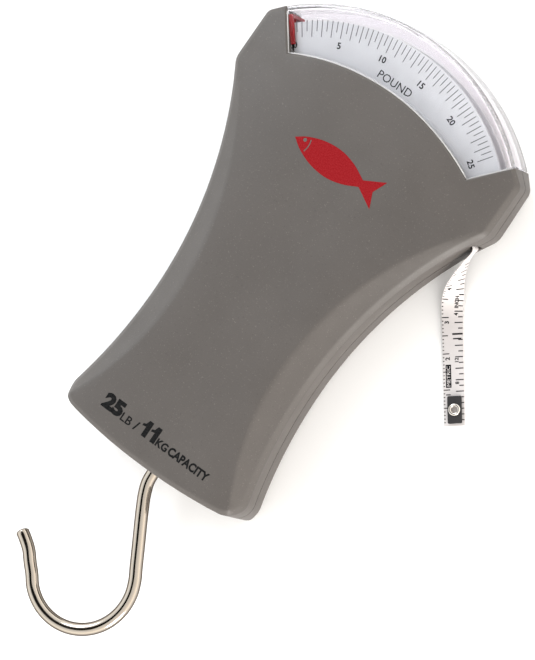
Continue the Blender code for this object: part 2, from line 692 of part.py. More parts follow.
def draw_bar(group, cutters, steel):
    """A rack leg beside the spring and a yoke below it that carries the hook and the spring's lower pin."""
    bar = prism("draw_bar", rack_outline(), *RACK_Z, group)
    web = box("web", (-5.0, -68.5, 6.8), (RACK_LEG_X[1], -66.5, 15.2), cutters)
    front = box("front_cheek", (-5.0, -67.0, 13.9), (5.5, -53.0, 15.2), cutters)
    rear = box("rear_cheek", (-5.0, -67.0, 6.8), (5.5, -53.0, 8.1), cutters)
    join(bar, web, front, rear)
    radius = HOOK_RADIUS + GAP
    shank = turned("shank_hole", [(AXIS, -2), (radius, -2), (radius, 2), (AXIS, 2)], (HOOK_X, -67.5, SEAM_Z),
                   cutters, axis="Y", sides=20)
    pin = cylinder("pin_hole", PIN_RADIUS + GAP, 6.0, 16.0, (0.0, SPRING_LOW_PIN_Y), cutters, sides=16)
    cut(bar, shank, pin)
    finish(bar, steel, smooth=False)
    finish(cylinder("spring_draw_pin", PIN_RADIUS, 6.4, 15.6, (0, SPRING_LOW_PIN_Y), group, sides=16), steel)


def main_spring(group, steel):
    """Extension spring: a loop round each pin and a coil between them."""
    loop = 2.6
    coil_top = SPRING_TOP_PIN_Y - 8.5
    coil_low = SPRING_LOW_PIN_Y + 6.0
    route = []
    for n in range(9):
        turn = math.radians(-60 + 300 * n / 8)
        route.append((loop * math.cos(turn), SPRING_TOP_PIN_Y + loop * math.sin(turn), SEAM_Z))
    per_turn = 8
    count = SPRING_TURNS * per_turn
    for n in range(count + 1):
        turn = 2 * math.pi * n / per_turn + math.pi
        ease = min(1.0, 0.35 + n / 5, 0.35 + (count - n) / 5)
        y = coil_top + (coil_low - coil_top) * n / count
        route.append((SPRING_RADIUS * ease * math.cos(turn), y, SEAM_Z + SPRING_RADIUS * ease * math.sin(turn)))
    for n in range(9):
        turn = math.radians(120 + 300 * n / 8)
        route.append((loop * math.cos(turn), SPRING_LOW_PIN_Y + loop * math.sin(turn), SEAM_Z))
    finish(wire("main_spring", route, SPRING_WIRE_RADIUS, group), steel)


# ---------------------------------------------------------------- hook

def hook_route():
    """Shank, kink, round bend and flared tip of the hook's wire."""
    centre = HOOK_BEND_CENTRE
    shank = [(HOOK_X, HOOK_TOP_Y), (HOOK_X, -75.0), (HOOK_X, -82.5), (HOOK_X + 0.3, -85.0)]
    leg = [(2.6, -88.0), (5.2, -92.9), (9.4, -100.2), (12.6, -105.8)]
    bend = arc(HOOK_BEND_RADIUS, 62.0, 236.0, 12, centre)
    tip = [(-14.2, -122.5), (-16.6, -119.9), (-19.1, -118.1), (-21.6, -116.6)]
    anchors = [(x, y, SEAM_Z) for x, y in shank + leg + bend + tip]
    return smooth_route(anchors, 3.2)


def hook(group, cutters, chrome, nylon):
    finish(wire("hook", hook_route(), HOOK_RADIUS, group, resolution=4), chrome)
    collar = [(HOOK_RADIUS + 0.1, -66.2), (2.6, -66.2), (2.6, -64.4), (HOOK_RADIUS + 0.1, -64.4)]
    finish(turned("hook_collar", collar, (HOOK_X, 0, SEAM_Z), group, axis="Y"), chrome)
    bore = HOOK_RADIUS + GAP + 0.05
    low = BOTTOM_Y + 0.2
    seat = BOTTOM_Y + WALL + 0.2 + GAP
    top = seat + 0.6
    sleeve = [(bore, low), (BUSH_RADIUS, low), (BUSH_RADIUS, seat), (FLANGE_RADIUS, seat), (FLANGE_RADIUS, top),
              (bore, top)]
    finish(turned("hook_bushing", sleeve, (HOOK_X, 0, SEAM_Z), group, axis="Y"), nylon)


# ---------------------------------------------------------------- tape measure

def spiral_outline(start, end, turns, thickness, steps_per_turn=11):
    count = int(turns * steps_per_turn)
    inner, outer = [], []
    for n in range(count + 1):
        turn = 2 * math.pi * n / steps_per_turn
        radius = start + (end - start) * n / count
        inner.append(((radius - thickness / 2) * math.cos(turn), (radius - thickness / 2) * math.sin(turn)))
        outer.append(((radius + thickness / 2) * math.cos(turn), (radius + thickness / 2) * math.sin(turn)))
    return [(x + REEL[0], y + REEL[1]) for x, y in outer + inner[::-1]]


def tape_reel(group, nylon, white, steel):
    low, high = 7.0, 15.0
    spool = [(1.8, low), (REEL_RADIUS, low), (REEL_RADIUS, low + 0.7), (3.6, low + 0.7), (3.6, high - 0.7),
             (REEL_RADIUS, high - 0.7), (REEL_RADIUS, high), (1.8, high)]
    place = (REEL[0], REEL[1], 0.0)
    finish(turned("tape_reel", spool, place, group, sides=32), nylon)
    coil_low = SEAM_Z - TAPE_WIDTH / 2
    coil = [(3.9, coil_low), (9.2, coil_low), (9.2, coil_low + TAPE_WIDTH), (3.9, coil_low + TAPE_WIDTH)]
    finish(turned("tape_coil", coil, place, group, sides=32), white)
    base = high + GAP
    cup = [(2.2, base), (7.0, base), (7.0, base + 2.3), (6.5, base + 2.3), (6.5, base + 0.6), (2.2, base + 0.6)]
    finish(turned("tape_spring_cup", cup, place, group, sides=28), steel)
    strip = prism("tape_return_spring", spiral_outline(2.7, 6.0, 4.5, 0.3), base + 0.9, base + 2.2, group)
    finish(strip, steel, smooth=False)
    post = cylinder("reel_post", AXLE_RADIUS, 4.0, base + 2.4, REEL, group)
    finish(post, steel)


def tape_guide(group, cutters, nylon):
    """A slotted block behind the wall that steers the tape out."""
    block = slot_box("tape_guide", 3.0, 4.4, TAPE_WIDTH + 2.4, group)
    cut(block, slot_box("slit", 5.0, 1.2, TAPE_WIDTH + 0.6, cutters))
    back = Vector((math.cos(SLOT_NORMAL), math.sin(SLOT_NORMAL), 0.0)) * -4.2
    block.data.transform(Matrix.Translation(back))
    finish(block, nylon, smooth=False)


def tape_strip(group, white):
    """The pulled-out ribbon, as a flat section carried along its route."""
    route = smooth_route(TAPE_ROUTE, 1.6)
    places = [point.xyz for point in route]
    bm = bmesh.new()
    previous = None
    for n, point in enumerate(route):
        ahead = (places[min(n + 1, len(places) - 1)] - places[max(n - 1, 0)]).normalized()
        flat = Vector((0, 0, 1)).cross(ahead).normalized()
        up = ahead.cross(flat)
        turn = Matrix.Rotation(math.radians(point.w), 3, ahead)
        across = turn @ flat * (TAPE_WIDTH / 2)
        through = turn @ up * (TAPE_THICKNESS / 2)
        corners = (across + through, -across + through, -across - through, across - through)
        ring = [bm.verts.new(places[n] + corner) for corner in corners]
        if previous:
            for k in range(4):
                bm.faces.new((previous[k], previous[(k + 1) % 4], ring[(k + 1) % 4], ring[k]))
        else:
            bm.faces.new(ring)
        previous = ring
    bm.faces.new(previous[::-1])
    finish(mesh_object("tape_strip", bm, group), white)


def tape_end(group, cutters, black, chrome):
    """A stiff black plate on the tape's end, with an eyelet."""
    tip = Vector(TAPE_ROUTE[-1][:2])
    back = (Vector(TAPE_ROUTE[-2][:2]) - tip).normalized()
    heading = math.atan2(back.y, back.x)
    centre = tip + back * 4.4 + Vector((back.y, -back.x)) * END_PLATE_SHIFT
    place = Matrix.Translation((centre.x, centre.y, 0.0)) @ Matrix.Rotation(heading, 4, "Z")
    plate = box("tape_end_plate", (-3.8, -2.05, 0.85), (3.8, 2.05, 1.35), group)
    cut(plate, cylinder("eyelet_hole", 1.3, 0, 2, (0, 0), cutters, sides=16))
    plate.data.transform(place)
    finish(plate, black, smooth=False)
    ring = [(0.85, 0.85), (1.1, 0.85), (1.1, 1.6), (1.75, 1.6), (1.75, 1.75), (1.4, 1.95), (0.85, 1.95)]
    finish(turned("tape_eyelet", ring, (centre.x, centre.y, 0.0), group, sides=20), chrome)


# ---------------------------------------------------------------- assembly

def main():
    clear_scene()
    parts = collection("fish_scale")
    cutters = collection("cutters")
    plastic = material("case_plastic", (0.19, 0.18, 0.165), 0.55)
    clear = material("clear_lens", (0.92, 0.92, 0.95), 0.05, alpha=0.25)
    white = material("white_print", (0.78, 0.78, 0.8), 0.4)
    red = material("red_pointer", (0.5, 0.02, 0.03), 0.4)
    black = material("black_plate", (0.02, 0.02, 0.02), 0.45)
    steel = material("steel", (0.55, 0.55, 0.56), 0.35, metallic=1.0)
    brass = material("brass", (0.75, 0.6, 0.3), 0.3, metallic=1.0)
    chrome = material("bright_hook", (0.72, 0.68, 0.6), 0.12, metallic=1.0)
    nylon = material("nylon", (0.8, 0.79, 0.74), 0.5)
    front_housing(parts, cutters, plastic)
    rear_housing(parts, cutters, plastic)
    case_screws(parts, steel)
    dial_lens(parts, clear)
    dials(parts, white, nylon)
    movement_frame(parts, cutters, steel, brass, nylon)
    pointer(parts, cutters, red, brass, nylon)
    draw_bar(parts, cutters, steel)
    main_spring(parts, steel)
    hook(parts, cutters, chrome, nylon)
    tape_reel(parts, nylon, white, steel)
    tape_guide(parts, cutters, nylon)
    tape_strip(parts, white)
    tape_end(parts, cutters, black, chrome)


main()
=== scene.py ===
"""Looks of the mechanical fish scale: moulded case, clear lens, printed dials, nickel hook and printed tape.

Lengths are in millimetres and become metres as each mesh is made.
"""
import json
import math

import bmesh
import bpy
import numpy as np
from mathutils import Matrix, Vector, geometry


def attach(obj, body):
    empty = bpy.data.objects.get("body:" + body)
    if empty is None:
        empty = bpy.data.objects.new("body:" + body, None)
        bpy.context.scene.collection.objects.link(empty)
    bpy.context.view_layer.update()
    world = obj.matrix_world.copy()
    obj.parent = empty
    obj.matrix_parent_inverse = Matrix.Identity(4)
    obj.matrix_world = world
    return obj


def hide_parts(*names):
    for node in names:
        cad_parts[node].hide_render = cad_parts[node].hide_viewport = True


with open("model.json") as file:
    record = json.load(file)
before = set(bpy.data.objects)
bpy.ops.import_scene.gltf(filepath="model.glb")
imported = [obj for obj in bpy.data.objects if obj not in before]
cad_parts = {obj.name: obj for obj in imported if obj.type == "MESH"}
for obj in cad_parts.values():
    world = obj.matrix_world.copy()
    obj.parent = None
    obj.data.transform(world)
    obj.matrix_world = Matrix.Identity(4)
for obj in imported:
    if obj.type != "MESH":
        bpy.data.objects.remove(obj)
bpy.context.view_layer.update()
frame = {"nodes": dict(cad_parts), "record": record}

MM = 0.001
UP = Vector((0.0, 0.0, 1.0))

# case, as the frame has it
THICKNESS = 22.0
SEAM_Z = THICKNESS / 2
SEAM_GAP = 0.3
TONGUE_INSET = 0.7  # the rear half's tongue stands this far inside the wall and closes the gap
WALL = 2.0
FACE_WALL = 1.9
LAND = 10.0
CROWN_DROP = 4.4
CROWN_SPAN = 35.0
TOP_DROP = 1.0
TOP_DROP_FROM = 15.0
TOP_DROP_SPAN = 30.0
EDGE_Z = 17.4
EAR_X = 45.1
EAR_TOP_Y = 42.3
EAR_TOP_RADIUS = 3.0
EAR_LOW_RADIUS = 6.0
WAIST_Y = -38.0
WAIST_X = 26.95
UPPER_RADIUS = 122.7
LOWER_RADIUS = 140.0
BOTTOM_Y = -80.6
BOTTOM_RADIUS = 192.0
BOTTOM_CORNER_RADIUS = 5.5

SCOOP_Y = -37.0
SCOOP_X = 18.3
SCOOP_UPPER_RADIUS = 94.0
SCOOP_LOWER_RADIUS = 79.0
SCOOP_EASE = 0.16  # share of the scoop's width over which its crease is rounded

# window, lens and dials
WINDOW_ANGLE = 41.6
WINDOW_ARC_Y = -26.8
WINDOW_ARC_RADIUS = 70.2
LENS_RADIUS = 61.6
LENS_INNER_RADIUS = 41.7
LENS_ANGLE = 41.15
THROAT_ANGLE = 41.5
THROAT_RADIUS = 36.0
LENS_WALL = 1.2
LENS_Z = 17.4
LENS_EDGE = 1.0
LENS_INNER_BEND = 0.5
DIAL_RADIUS = 56.9
DIAL_INNER_RADIUS = 37.0
DIAL_TAB_RADIUS = 45.2
DIAL_ANGLE = 41.0
DIAL_Z = (14.1, 15.0)
DIAL_POST = (31.5, 26.5)
POST_RADIUS = 2.2
ZERO_ANGLE = 40.0  # the pointer's rest, counted from the dial's middle
FULL_ANGLE = 37.1
PRINT_CENTRE = (-1.15, -0.25)  # where the thick cover makes the print's centre appear
TICK_RADIUS = 56.8
NUMERAL_RADIUS = 50.15
UNIT_RADIUS = 46.0
UNIT_ANGLE = -1.3
LABEL_LIMIT = 39.3  # the end numerals are moved in to this angle

# the clear cover deepens in tint and turns milkier towards its rim
RIM_TINT_FROM = 57.0
RIM_HAZE_FROM = 57.2
RIM_TO = 58.0
RIM_SHARE = 0.86

# hook
HOOK_X = 1.2
HOOK_RADIUS = 1.85
HOOK_TOP_Y = -63.2
HOOK_BEND_CENTRE = (0.8, -116.1)
HOOK_BEND_RADIUS = 15.4
BUSH_RADIUS = 3.4
PAINTED_LIT_SIDE = (0.33, 0.11, 0.94)  # painted light: the wire is painted bright where it faces this way and painted dark along its sides

# tape
TAPE_WIDTH = 6.1
TAPE_THICKNESS = 0.3
TAPE_BEVEL = 0.08
END_PLATE_HALF = (3.8, 2.05)
END_PLATE_Z = (0.85, 1.33)
END_PLATE_BACK = 4.4  # from the tape's tip to the plate's middle
END_PLATE_SHIFT = 0.3  # sideways
EYELET_RADIUS = 1.3
SLOT_AT = (42.2, 21.6)
SLOT_NORMAL = math.radians(-29.0)
SLOT_WIDTH = 1.8
INCH = 25.4
TAPE_EDGE = TAPE_WIDTH / 2 - 0.12  # where the marks start, from the centre line
# the tape's centre line and the turn of its flat side, as the frame has them
TAPE_ROUTE = (
    (40.9, 22.3, 11.0, -90), (41.6, 21.9, 11.0, -90), (42.35, 21.3, 11.0, -94), (42.6, 20.4, 10.95, -100),
    (42.35, 19.2, 10.8, -103), (41.95, 17.5, 10.35, -100), (41.7, 15.6, 9.5, -96), (41.4, 13.9, 8.4, -90),
    (41.2, 12.3, 7.0, -83), (41.1, 10.7, 5.65, -73), (41.15, 9.3, 4.4, -61), (41.4, 7.9, 3.3, -48),
    (41.85, 6.5, 2.4, -35), (42.8, 4.2, 1.4, -18), (45.05, 0.7, 0.68, -5), (49.4, -5.2, 0.45, 0),
    (53.9, -11.1, 0.4, 0), (58.3, -16.9, 0.4, 0), (62.7, -22.7, 0.4, 0))

# screws and posts
CASE_SCREWS = ((-37.0, 31.0), (37.0, 31.0), (-19.5, -35.0), (19.5, -35.0), (-24.0, -70.0), (24.0, -70.0))
STANDOFFS = ((-11.0, -15.0), (-11.0, 2.0), (14.5, -13.0))
BOSS_RADIUS = 2.8
SCREW_RADIUS = 1.0
SCREW_HOLE_RADIUS = 1.3
HEAD_RADIUS = 1.9
HEAD_DEPTH = 2.6
PLATE_REAR_LOW = 6.9
NEAR_AXIS = 0.0001  # a turned profile's ends stay this far from its axis

# printed face
BADGE_AT = (-0.5, 18.4)
CAPACITY_Y = -73.7
NUMERAL_ONE = ((0.0, 3.2), (0.8, 3.5), (1.3, 4.8), (2.7, 4.8), (2.7, 0.0), (1.2, 0.0), (1.2, 2.8), (0.0, 2.5))

# mesh of the case: the edge round each face, as (distance in from the wall, depth below the face)
EDGE_PROFILE = ((0.0, 1.35), (0.03, 1.18), (0.12, 1.0), (0.3, 0.82), (0.62, 0.56), (0.95, 0.3), (1.2, 0.13),
                (1.45, 0.03), (1.8, 0.0))
WINDOW_RIM = 0.3  # the window's rim is rounded by this share of the outer edge's bevel
GRID = 2.2
CASE_SHARP = 32  # degrees

# camera: axes fitted to the view from above and to the right of the case
VIEW_FORWARD = Vector((-0.3281, -0.1059, -0.9387))
VIEW_UP = Vector((-0.5568, 0.8244, 0.1016))
VIEW_CENTRE = Vector((5.55, -30.6, 11.0))
VIEW_DISTANCE = 1900.0
LENS_MM = 374.9

# light tent, in the world's own -1 to 1 directions, and the table
WORLD_STRENGTH = 2.3
TENT_WALL = ((0.0, (0.95, 0.92, 0.88)), (0.3, (0.92, 0.90, 0.87)), (0.62, (0.66, 0.65, 0.64)),
             (1.0, (0.52, 0.52, 0.52)))
TENT_TINT = ((0.0, (0.90, 0.95, 1.0)), (0.5, (0.96, 0.96, 0.95)), (1.0, (1.0, 0.965, 0.925)))
PATCH_X = -0.2
PATCH_HALF = 0.25
PATCH_FADE = 0.05
PATCH_HEIGHTS = (0.9, 0.82)
PATCH_COLOUR = (0.015, 0.014, 0.013)
TABLE_Z = -0.0002  # metres


# ---- camera, light and table

def linked(name, data):
    """A new object in the scene."""
    obj = bpy.data.objects.new(name, data)
    bpy.context.scene.collection.objects.link(obj)
    return obj


def set_up_camera():
    data = bpy.data.cameras.new("camera")
    data.lens = LENS_MM
    data.clip_end = 20.0
    camera = linked("camera", data)
    forward = VIEW_FORWARD.normalized()
    right = forward.cross(VIEW_UP).normalized()
    turn = Matrix((right, right.cross(forward), -forward)).transposed().to_4x4()
    camera.matrix_world = Matrix.Translation((VIEW_CENTRE - forward * VIEW_DISTANCE) * MM) @ turn
    bpy.context.scene.camera = camera


def area_light(name, towards, distance, size, power, colour):
    data = bpy.data.lights.new(name, "AREA")
    data.shape = "DISK"
    data.size = size
    data.energy = power
    data.color = colour
    direction = Vector(towards).normalized()
    turn = direction.to_track_quat("Z", "Y").to_matrix().to_4x4()
    linked(name, data).matrix_world = Matrix.Translation(direction * distance) @ turn


def set_up_world():
    """A light tent: bright walls, cooler on the left, and a dark patch overhead for the wire to mirror."""
    world = bpy.data.worlds.new("studio")
    bpy.context.scene.world = world
    world.use_nodes = True
    world.node_tree.nodes.clear()
    tent = Nodes(world.node_tree)
    place = tent.add("TexCoord").outputs["Generated"]
    split = tent.add("SeparateXYZ", {0: place}).outputs
    wall = tent.ramp(split["Z"], TENT_WALL)
    tint = tent.ramp(tent.band(split["X"], -1.0, 1.0), TENT_TINT)
    offset = tent.band(split["X"], PATCH_X - 1.0, PATCH_X + 1.0, -1.0, 1.0)
    beside = tent.band(tent.math("ABSOLUTE", offset), PATCH_HALF, PATCH_HALF + PATCH_FADE)
    below = tent.band(split["Z"], *PATCH_HEIGHTS)
    patch = tent.ramp(tent.math("MAXIMUM", beside, below), ((0.0, PATCH_COLOUR), (1.0, (1.0, 1.0, 1.0))))
    colour = tent.mixed(1.0, tent.mixed(1.0, wall, tint, "MULTIPLY"), patch, "MULTIPLY")
    background = tent.add("Background", {"Strength": WORLD_STRENGTH, "Color": colour})
    tent.add("OutputWorld", {"Surface": background.outputs[0]})


def set_up_table():
    bm = bmesh.new()
    bmesh.ops.create_grid(bm, x_segments=1, y_segments=1, size=4.0)
    mesh = bpy.data.meshes.new("table")
    bm.to_mesh(mesh)
    bm.free()
    table = linked("table", mesh)
    table.location.z = TABLE_Z
    mesh.materials.append(Shader("table_white", (0.97, 0.97, 0.97), 0.9, specular=0.1).material)


# ---- material nodes

class Nodes:
    """Short ways to wire up a node tree."""

    def __init__(self, tree):
        self.tree = tree

    def feed(self, node, inputs):
        """Link or set a node's inputs."""
        for socket, value in inputs.items():
            if isinstance(value, bpy.types.NodeSocket):
                self.tree.links.new(value, node.inputs[socket])
            else:
                node.inputs[socket].default_value = value

    def add(self, kind, inputs=None, **settings):
        """A new node with its settings and inputs."""
        made = self.tree.nodes.new("ShaderNode" + kind)
        for name, value in settings.items():
            setattr(made, name, value)
        self.feed(made, inputs or {})
        return made

    def math(self, operation, one, two=0.0):
        return self.add("Math", {0: one, 1: two}, operation=operation).outputs["Value"]

    def band(self, value, low, high, out_low=0.0, out_high=1.0):
        """A value carried from one range to another, and held within it."""
        ends = {"From Min": low, "From Max": high, "To Min": out_low, "To Max": out_high}
        return self.add("MapRange", {"Value": value, **ends}).outputs["Result"]

    def mixed(self, factor, one, two, blend="MIX"):
        """Two colours blended, each given as three numbers or as a socket."""
        one, two = [(*c, 1.0) if isinstance(c, tuple) else c for c in (one, two)]
        inputs = {"Factor": factor, "A": one, "B": two}
        return self.add("Mix", inputs, data_type="RGBA", blend_type=blend).outputs["Result"]

    def ramp(self, value, stops):
        made = self.add("ValToRGB", {"Fac": value})
        elements = made.color_ramp.elements
        while len(elements) < len(stops):
            elements.new(1.0)
        for element, (place, colour) in zip(elements, stops):
            element.position = place
            element.color = (*colour, 1.0)
        return made.outputs["Color"]


class Shader(Nodes):
    """A Principled material that procedural nodes drive."""

    def __init__(self, name, colour, roughness, metallic=0.0, specular=0.5):
        self.material = bpy.data.materials.new(name)
        self.material.use_nodes = True
        super().__init__(self.material.node_tree)
        self.node = self.tree.nodes["Principled BSDF"]
        self.place = self.add("TexCoord").outputs["Object"]
        self.height = None
        self.drive({"Base Color": (*colour, 1.0), "Roughness": roughness, "Metallic": metallic,
                    "Specular IOR Level": specular})

    def drive(self, inputs):
        self.feed(self.node, inputs)

    def noise(self, size, detail=3.0, stretch=(1.0, 1.0, 1.0)):
        """Noise whose features are about size millimetres across."""
        mapping = self.add("Mapping", {"Scale": stretch, "Vector": self.place})
        inputs = {"Scale": 1.0 / (size * MM), "Detail": detail, "Roughness": 0.55}
        return self.add("TexNoise", {"Vector": mapping.outputs["Vector"], **inputs}).outputs["Fac"]

    def patches(self, size, detail, low, high, out_low=0.0, out_high=1.0):
        """Noise between two values, spread over a range."""
        return self.band(self.noise(size, detail), low, high, out_low, out_high)

    def surface(self, output):
        """A value of the surface itself, such as its normal."""
        return self.add("NewGeometry").outputs[output]

    def reach(self):
        """How far a place is from the pivot's axis, in scene units."""
        flat = self.add("VectorMath", {0: self.place, 1: (1.0, 1.0, 0.0)}, operation="MULTIPLY")
        return self.add("VectorMath", {0: flat.outputs["Vector"]}, operation="LENGTH").outputs["Value"]

    def blend(self, factor, one, two):
        return self.add("MixShader", {0: factor, 1: one, 2: two}).outputs[0]

    def bump(self, value, depth, strength=1.0):
        """Relief of a depth in millimetres, on top of what was added before."""
        inputs = {"Strength": strength, "Distance": depth * MM, "Height": value}
        if self.height:
            inputs["Normal"] = self.height
        self.height = self.add("Bump", inputs).outputs["Normal"]
        self.drive({"Normal": self.height})


def scaled(colour, share, extra=0.0):
    return tuple(min(1.0, c * share + extra) for c in colour)


def moulded_plastic(name, colour, roughness, grain, depth):
    """Moulded plastic: eroded grain, faint flow clouds, pale flecks and rubbed edges."""
    made = Shader(name, colour, roughness)
    clouds = made.patches(26.0, 4.0, 0.3, 0.7)
    tone = made.mixed(clouds, scaled(colour, 0.93), scaled(colour, 1.07))
    flecks = made.patches(0.42, 1.0, 0.66, 0.76)
    pits = made.patches(0.6, 2.0, 0.36, 0.28)
    edges = made.band(made.surface("Pointiness"), 0.53, 0.62)
    worn_edges_and_lit_sides = made.math("MULTIPLY", edges, made.patches(3.0, 4.0, 0.35, 0.65))
    for spots, cover, share in ((flecks, 0.6, 1.9), (pits, 0.5, 0.7), (worn_edges_and_lit_sides, 0.6, 1.45)):
        tone = made.mixed(made.math("MULTIPLY", spots, cover), tone, scaled(colour, share))
    sheen = made.patches(9.0, 5.0, 0.3, 0.7, roughness - 0.05, roughness + 0.06)
    made.drive({"Base Color": tone, "Roughness": sheen})
    made.bump(made.noise(grain, 3.0), depth)
    made.bump(made.noise(14.0, 2.0), 0.05, 0.25)
    return made.material


def printed_sheet(name, colour, roughness):
    """Coated white stock: very fine tooth and faint handling marks."""
    made = Shader(name, colour, roughness)
    marks = made.patches(5.0, 5.0, 0.35, 0.75)
    sheen = made.patches(1.5, 4.0, 0.3, 0.7, roughness - 0.08, roughness + 0.08)
    tone = made.mixed(marks, scaled(colour, 1.02), scaled(colour, 0.955))
    made.drive({"Base Color": tone, "Roughness": sheen})
    made.bump(made.noise(0.22, 2.0), 0.004)
    return made.material


def ink(name, colour, roughness=0.5):
    """Printed ink: slightly uneven cover, with a fine tooth."""
    made = Shader(name, colour, roughness, specular=0.08)
    cover = made.patches(0.35, 3.0, 0.35, 0.7)
    made.drive({"Base Color": made.mixed(cover, colour, scaled(colour, 1.25, 0.012))})
    made.bump(made.noise(0.3, 2.0), 0.006)
    return made.material


def metal(name, colour, roughness, brushed=(1.0, 1.0, 1.0), scratch=0.004):
    """Bare or plated metal: fine drawn lines, smears in the roughness and a little tarnish."""
    made = Shader(name, colour, roughness, metallic=1.0)
    tarnish = made.patches(6.0, 5.0, 0.35, 0.75)
    sheen = made.band(made.noise(1.2, 5.0, brushed), 0.3, 0.7, roughness * 0.6, roughness * 1.5)
    made.drive({"Base Color": made.mixed(tarnish, colour, scaled(colour, 0.88)), "Roughness": sheen})
    made.bump(made.noise(0.35, 4.0, brushed), scratch)
    return made.material


def plated_wire(name, colour, side_shade, roughness):
    """Nickel-plated wire with painted light: its front and back are painted bright and its sides painted
    browner, as painted shade and reflection.
    """
    made = Shader(name, colour, roughness, metallic=1.0)
    normal = made.surface("Normal")
    facing = made.add("VectorMath", {0: normal, 1: PAINTED_LIT_SIDE}, operation="DOT_PRODUCT").outputs["Value"]
    # painted shade: the colour turns from the bright colour to the dark side colour as the normal turns away
    # from the lit direction
    worn_edges_and_lit_sides = made.band(made.math("ABSOLUTE", facing), 0.3, 0.78)
    painted_lit_share = made.math("MULTIPLY", worn_edges_and_lit_sides, made.patches(5.0, 4.0, 0.1, 0.5, 0.85, 1.0))
    sheen = made.patches(0.8, 5.0, 0.3, 0.7, roughness * 0.7, roughness * 1.5)
    made.drive({"Specular Tint": (*scaled(side_shade, 3.0), 1.0), "Roughness": sheen,
                "Base Color": made.mixed(painted_lit_share, side_shade, colour)})
    made.bump(made.noise(1.6, 5.0), 0.006)
    return made.material


def clear_plastic(name, tint, rim_tint, haze, refracting):
    """Clear acrylic with a little haze. Lamps reach through it, so what is behind it stays lit."""
    made = Shader(name, tint, 0.03)
    colour = made.mixed(made.band(made.reach(), RIM_TINT_FROM * MM, RIM_TO * MM), tint, rim_tint)
    sheen = made.patches(4.0, 5.0, 0.4, 0.8, 0.015, 0.06)
    made.drive({"Base Color": colour, "Roughness": sheen, "Transmission Weight": 1.0, "IOR": 1.49})
    made.bump(made.noise(18.0, 1.0), 0.02, 0.2)
    through = made.add("BsdfTransparent", {"Color": (*scaled(tint, 0.99), 1.0)}).outputs[0]
    milky = made.add("BsdfDiffuse", {"Color": (0.74, 0.73, 0.72, 1.0)}).outputs[0]
    smears = made.patches(7.0, 4.0, 0.3, 0.7, haze * 0.8, haze * 1.2)
    hazy = made.blend(smears, through, milky)
    share = made.band(made.reach(), RIM_HAZE_FROM * MM, RIM_TO * MM, refracting, refracting * RIM_SHARE)
    body = made.blend(share, hazy, made.node.outputs[0])
    shadow = made.add("LightPath").outputs["Is Shadow Ray"]
    output = next(n for n in made.tree.nodes if n.type == "OUTPUT_MATERIAL")
    made.feed(output, {"Surface": made.blend(shadow, body, through)})
    return made.material


def make_materials():
    return {
        "case": moulded_plastic("case_grey", (0.077, 0.068, 0.062), 0.5, 0.36, 0.022),
        "clear": clear_plastic("lens_clear", (0.985, 0.98, 0.985), (0.972, 0.945, 0.975), 0.05, 1.0),
        # a milky clear for the bead along the window's edge, which is a painted highlight
        "lip": clear_plastic("window_edge_highlight_clear", (0.97, 0.97, 0.98), (0.97, 0.97, 0.98), 0.7, 0.3),
        "dial": printed_sheet("dial_white", (0.60, 0.605, 0.625), 0.42),
        "tick": ink("dial_tick_ink", (0.12, 0.12, 0.13)),
        "numeral": ink("dial_numeral_ink", (0.008, 0.009, 0.012)),
        "pointer": moulded_plastic("pointer_red", (0.26, 0.001, 0.004), 0.42, 0.6, 0.006),
        "badge": ink("badge_red", (0.21, 0.002, 0.005), 0.6),
        "black_ink": ink("black_ink", (0.002, 0.0022, 0.0025), 0.7),
        # the hook's second colour is the painted shade along the wire's sides
        "hook": plated_wire("hook_nickel", (0.46, 0.41, 0.35), (0.06, 0.043, 0.03), 0.1),
        "steel": metal("zinc_steel", (0.56, 0.56, 0.57), 0.32, (1.0, 6.0, 1.0), 0.006),
        "spring": metal("spring_steel", (0.36, 0.36, 0.38), 0.3),
        "brass": metal("turned_brass", (0.72, 0.53, 0.25), 0.25, (1.0, 1.0, 9.0), 0.005),
        "nylon": moulded_plastic("natural_nylon", (0.72, 0.71, 0.65), 0.42, 0.5, 0.006),
        "tape": printed_sheet("tape_white", (0.62, 0.59, 0.585), 0.4),
        "tape_ink": ink("tape_ink", (0.004, 0.004, 0.005)),
        "plate": moulded_plastic("plate_black", (0.012, 0.011, 0.012), 0.62, 0.25, 0.02),
        "eyelet": metal("eyelet_nickel", (0.72, 0.68, 0.63), 0.16),
    }


# ---- mesh helpers

def polar(radius, angle, centre=(0.0, 0.0)):
    """A point at an angle in degrees measured clockwise from +Y."""
    turn = math.radians(angle)
    return (centre[0] + radius * math.sin(turn), centre[1] + radius * math.cos(turn))


def arc(radius, start, end, steps, centre=(0.0, 0.0)):
    return [polar(radius, start + (end - start) * n / steps, centre) for n in range(steps + 1)]


def mirrored(half):
    return half + [(-x, y) for x, y in reversed(half) if abs(x) > 1e-6]


def rounded(before, corner, after, radius, steps=8):
    """Points of a round corner between two straight runs."""
    here = Vector(corner)
    one = (Vector(before) - here).normalized()
    two = (Vector(after) - here).normalized()
    half_angle = one.angle(two) / 2
    reach = radius / math.tan(half_angle)
    middle = here + (one + two).normalized() * (radius / math.sin(half_angle))
    first = here + one * reach - middle
    turn = first.angle_signed(here + two * reach - middle)
    return [tuple(middle + Matrix.Rotation(-turn * n / steps, 2) @ first) for n in range(steps + 1)]


def solid(name, bm, material, sharp=35):
    """A mesh object in metres from a bmesh in millimetres."""
    bmesh.ops.recalc_face_normals(bm, faces=bm.faces[:])
    bmesh.ops.scale(bm, verts=bm.verts[:], vec=(MM, MM, MM))
    mesh = bpy.data.meshes.new(name)
    bm.to_mesh(mesh)
    bm.free()
    if material:
        mesh.materials.append(material)
    obj = linked(name, mesh)
    smooth_by_angle(obj, sharp)
    return obj


def smooth_by_angle(obj, angle=35):
    obj.data.shade_smooth()
    obj.data.set_sharp_from_angle(angle=math.radians(angle))


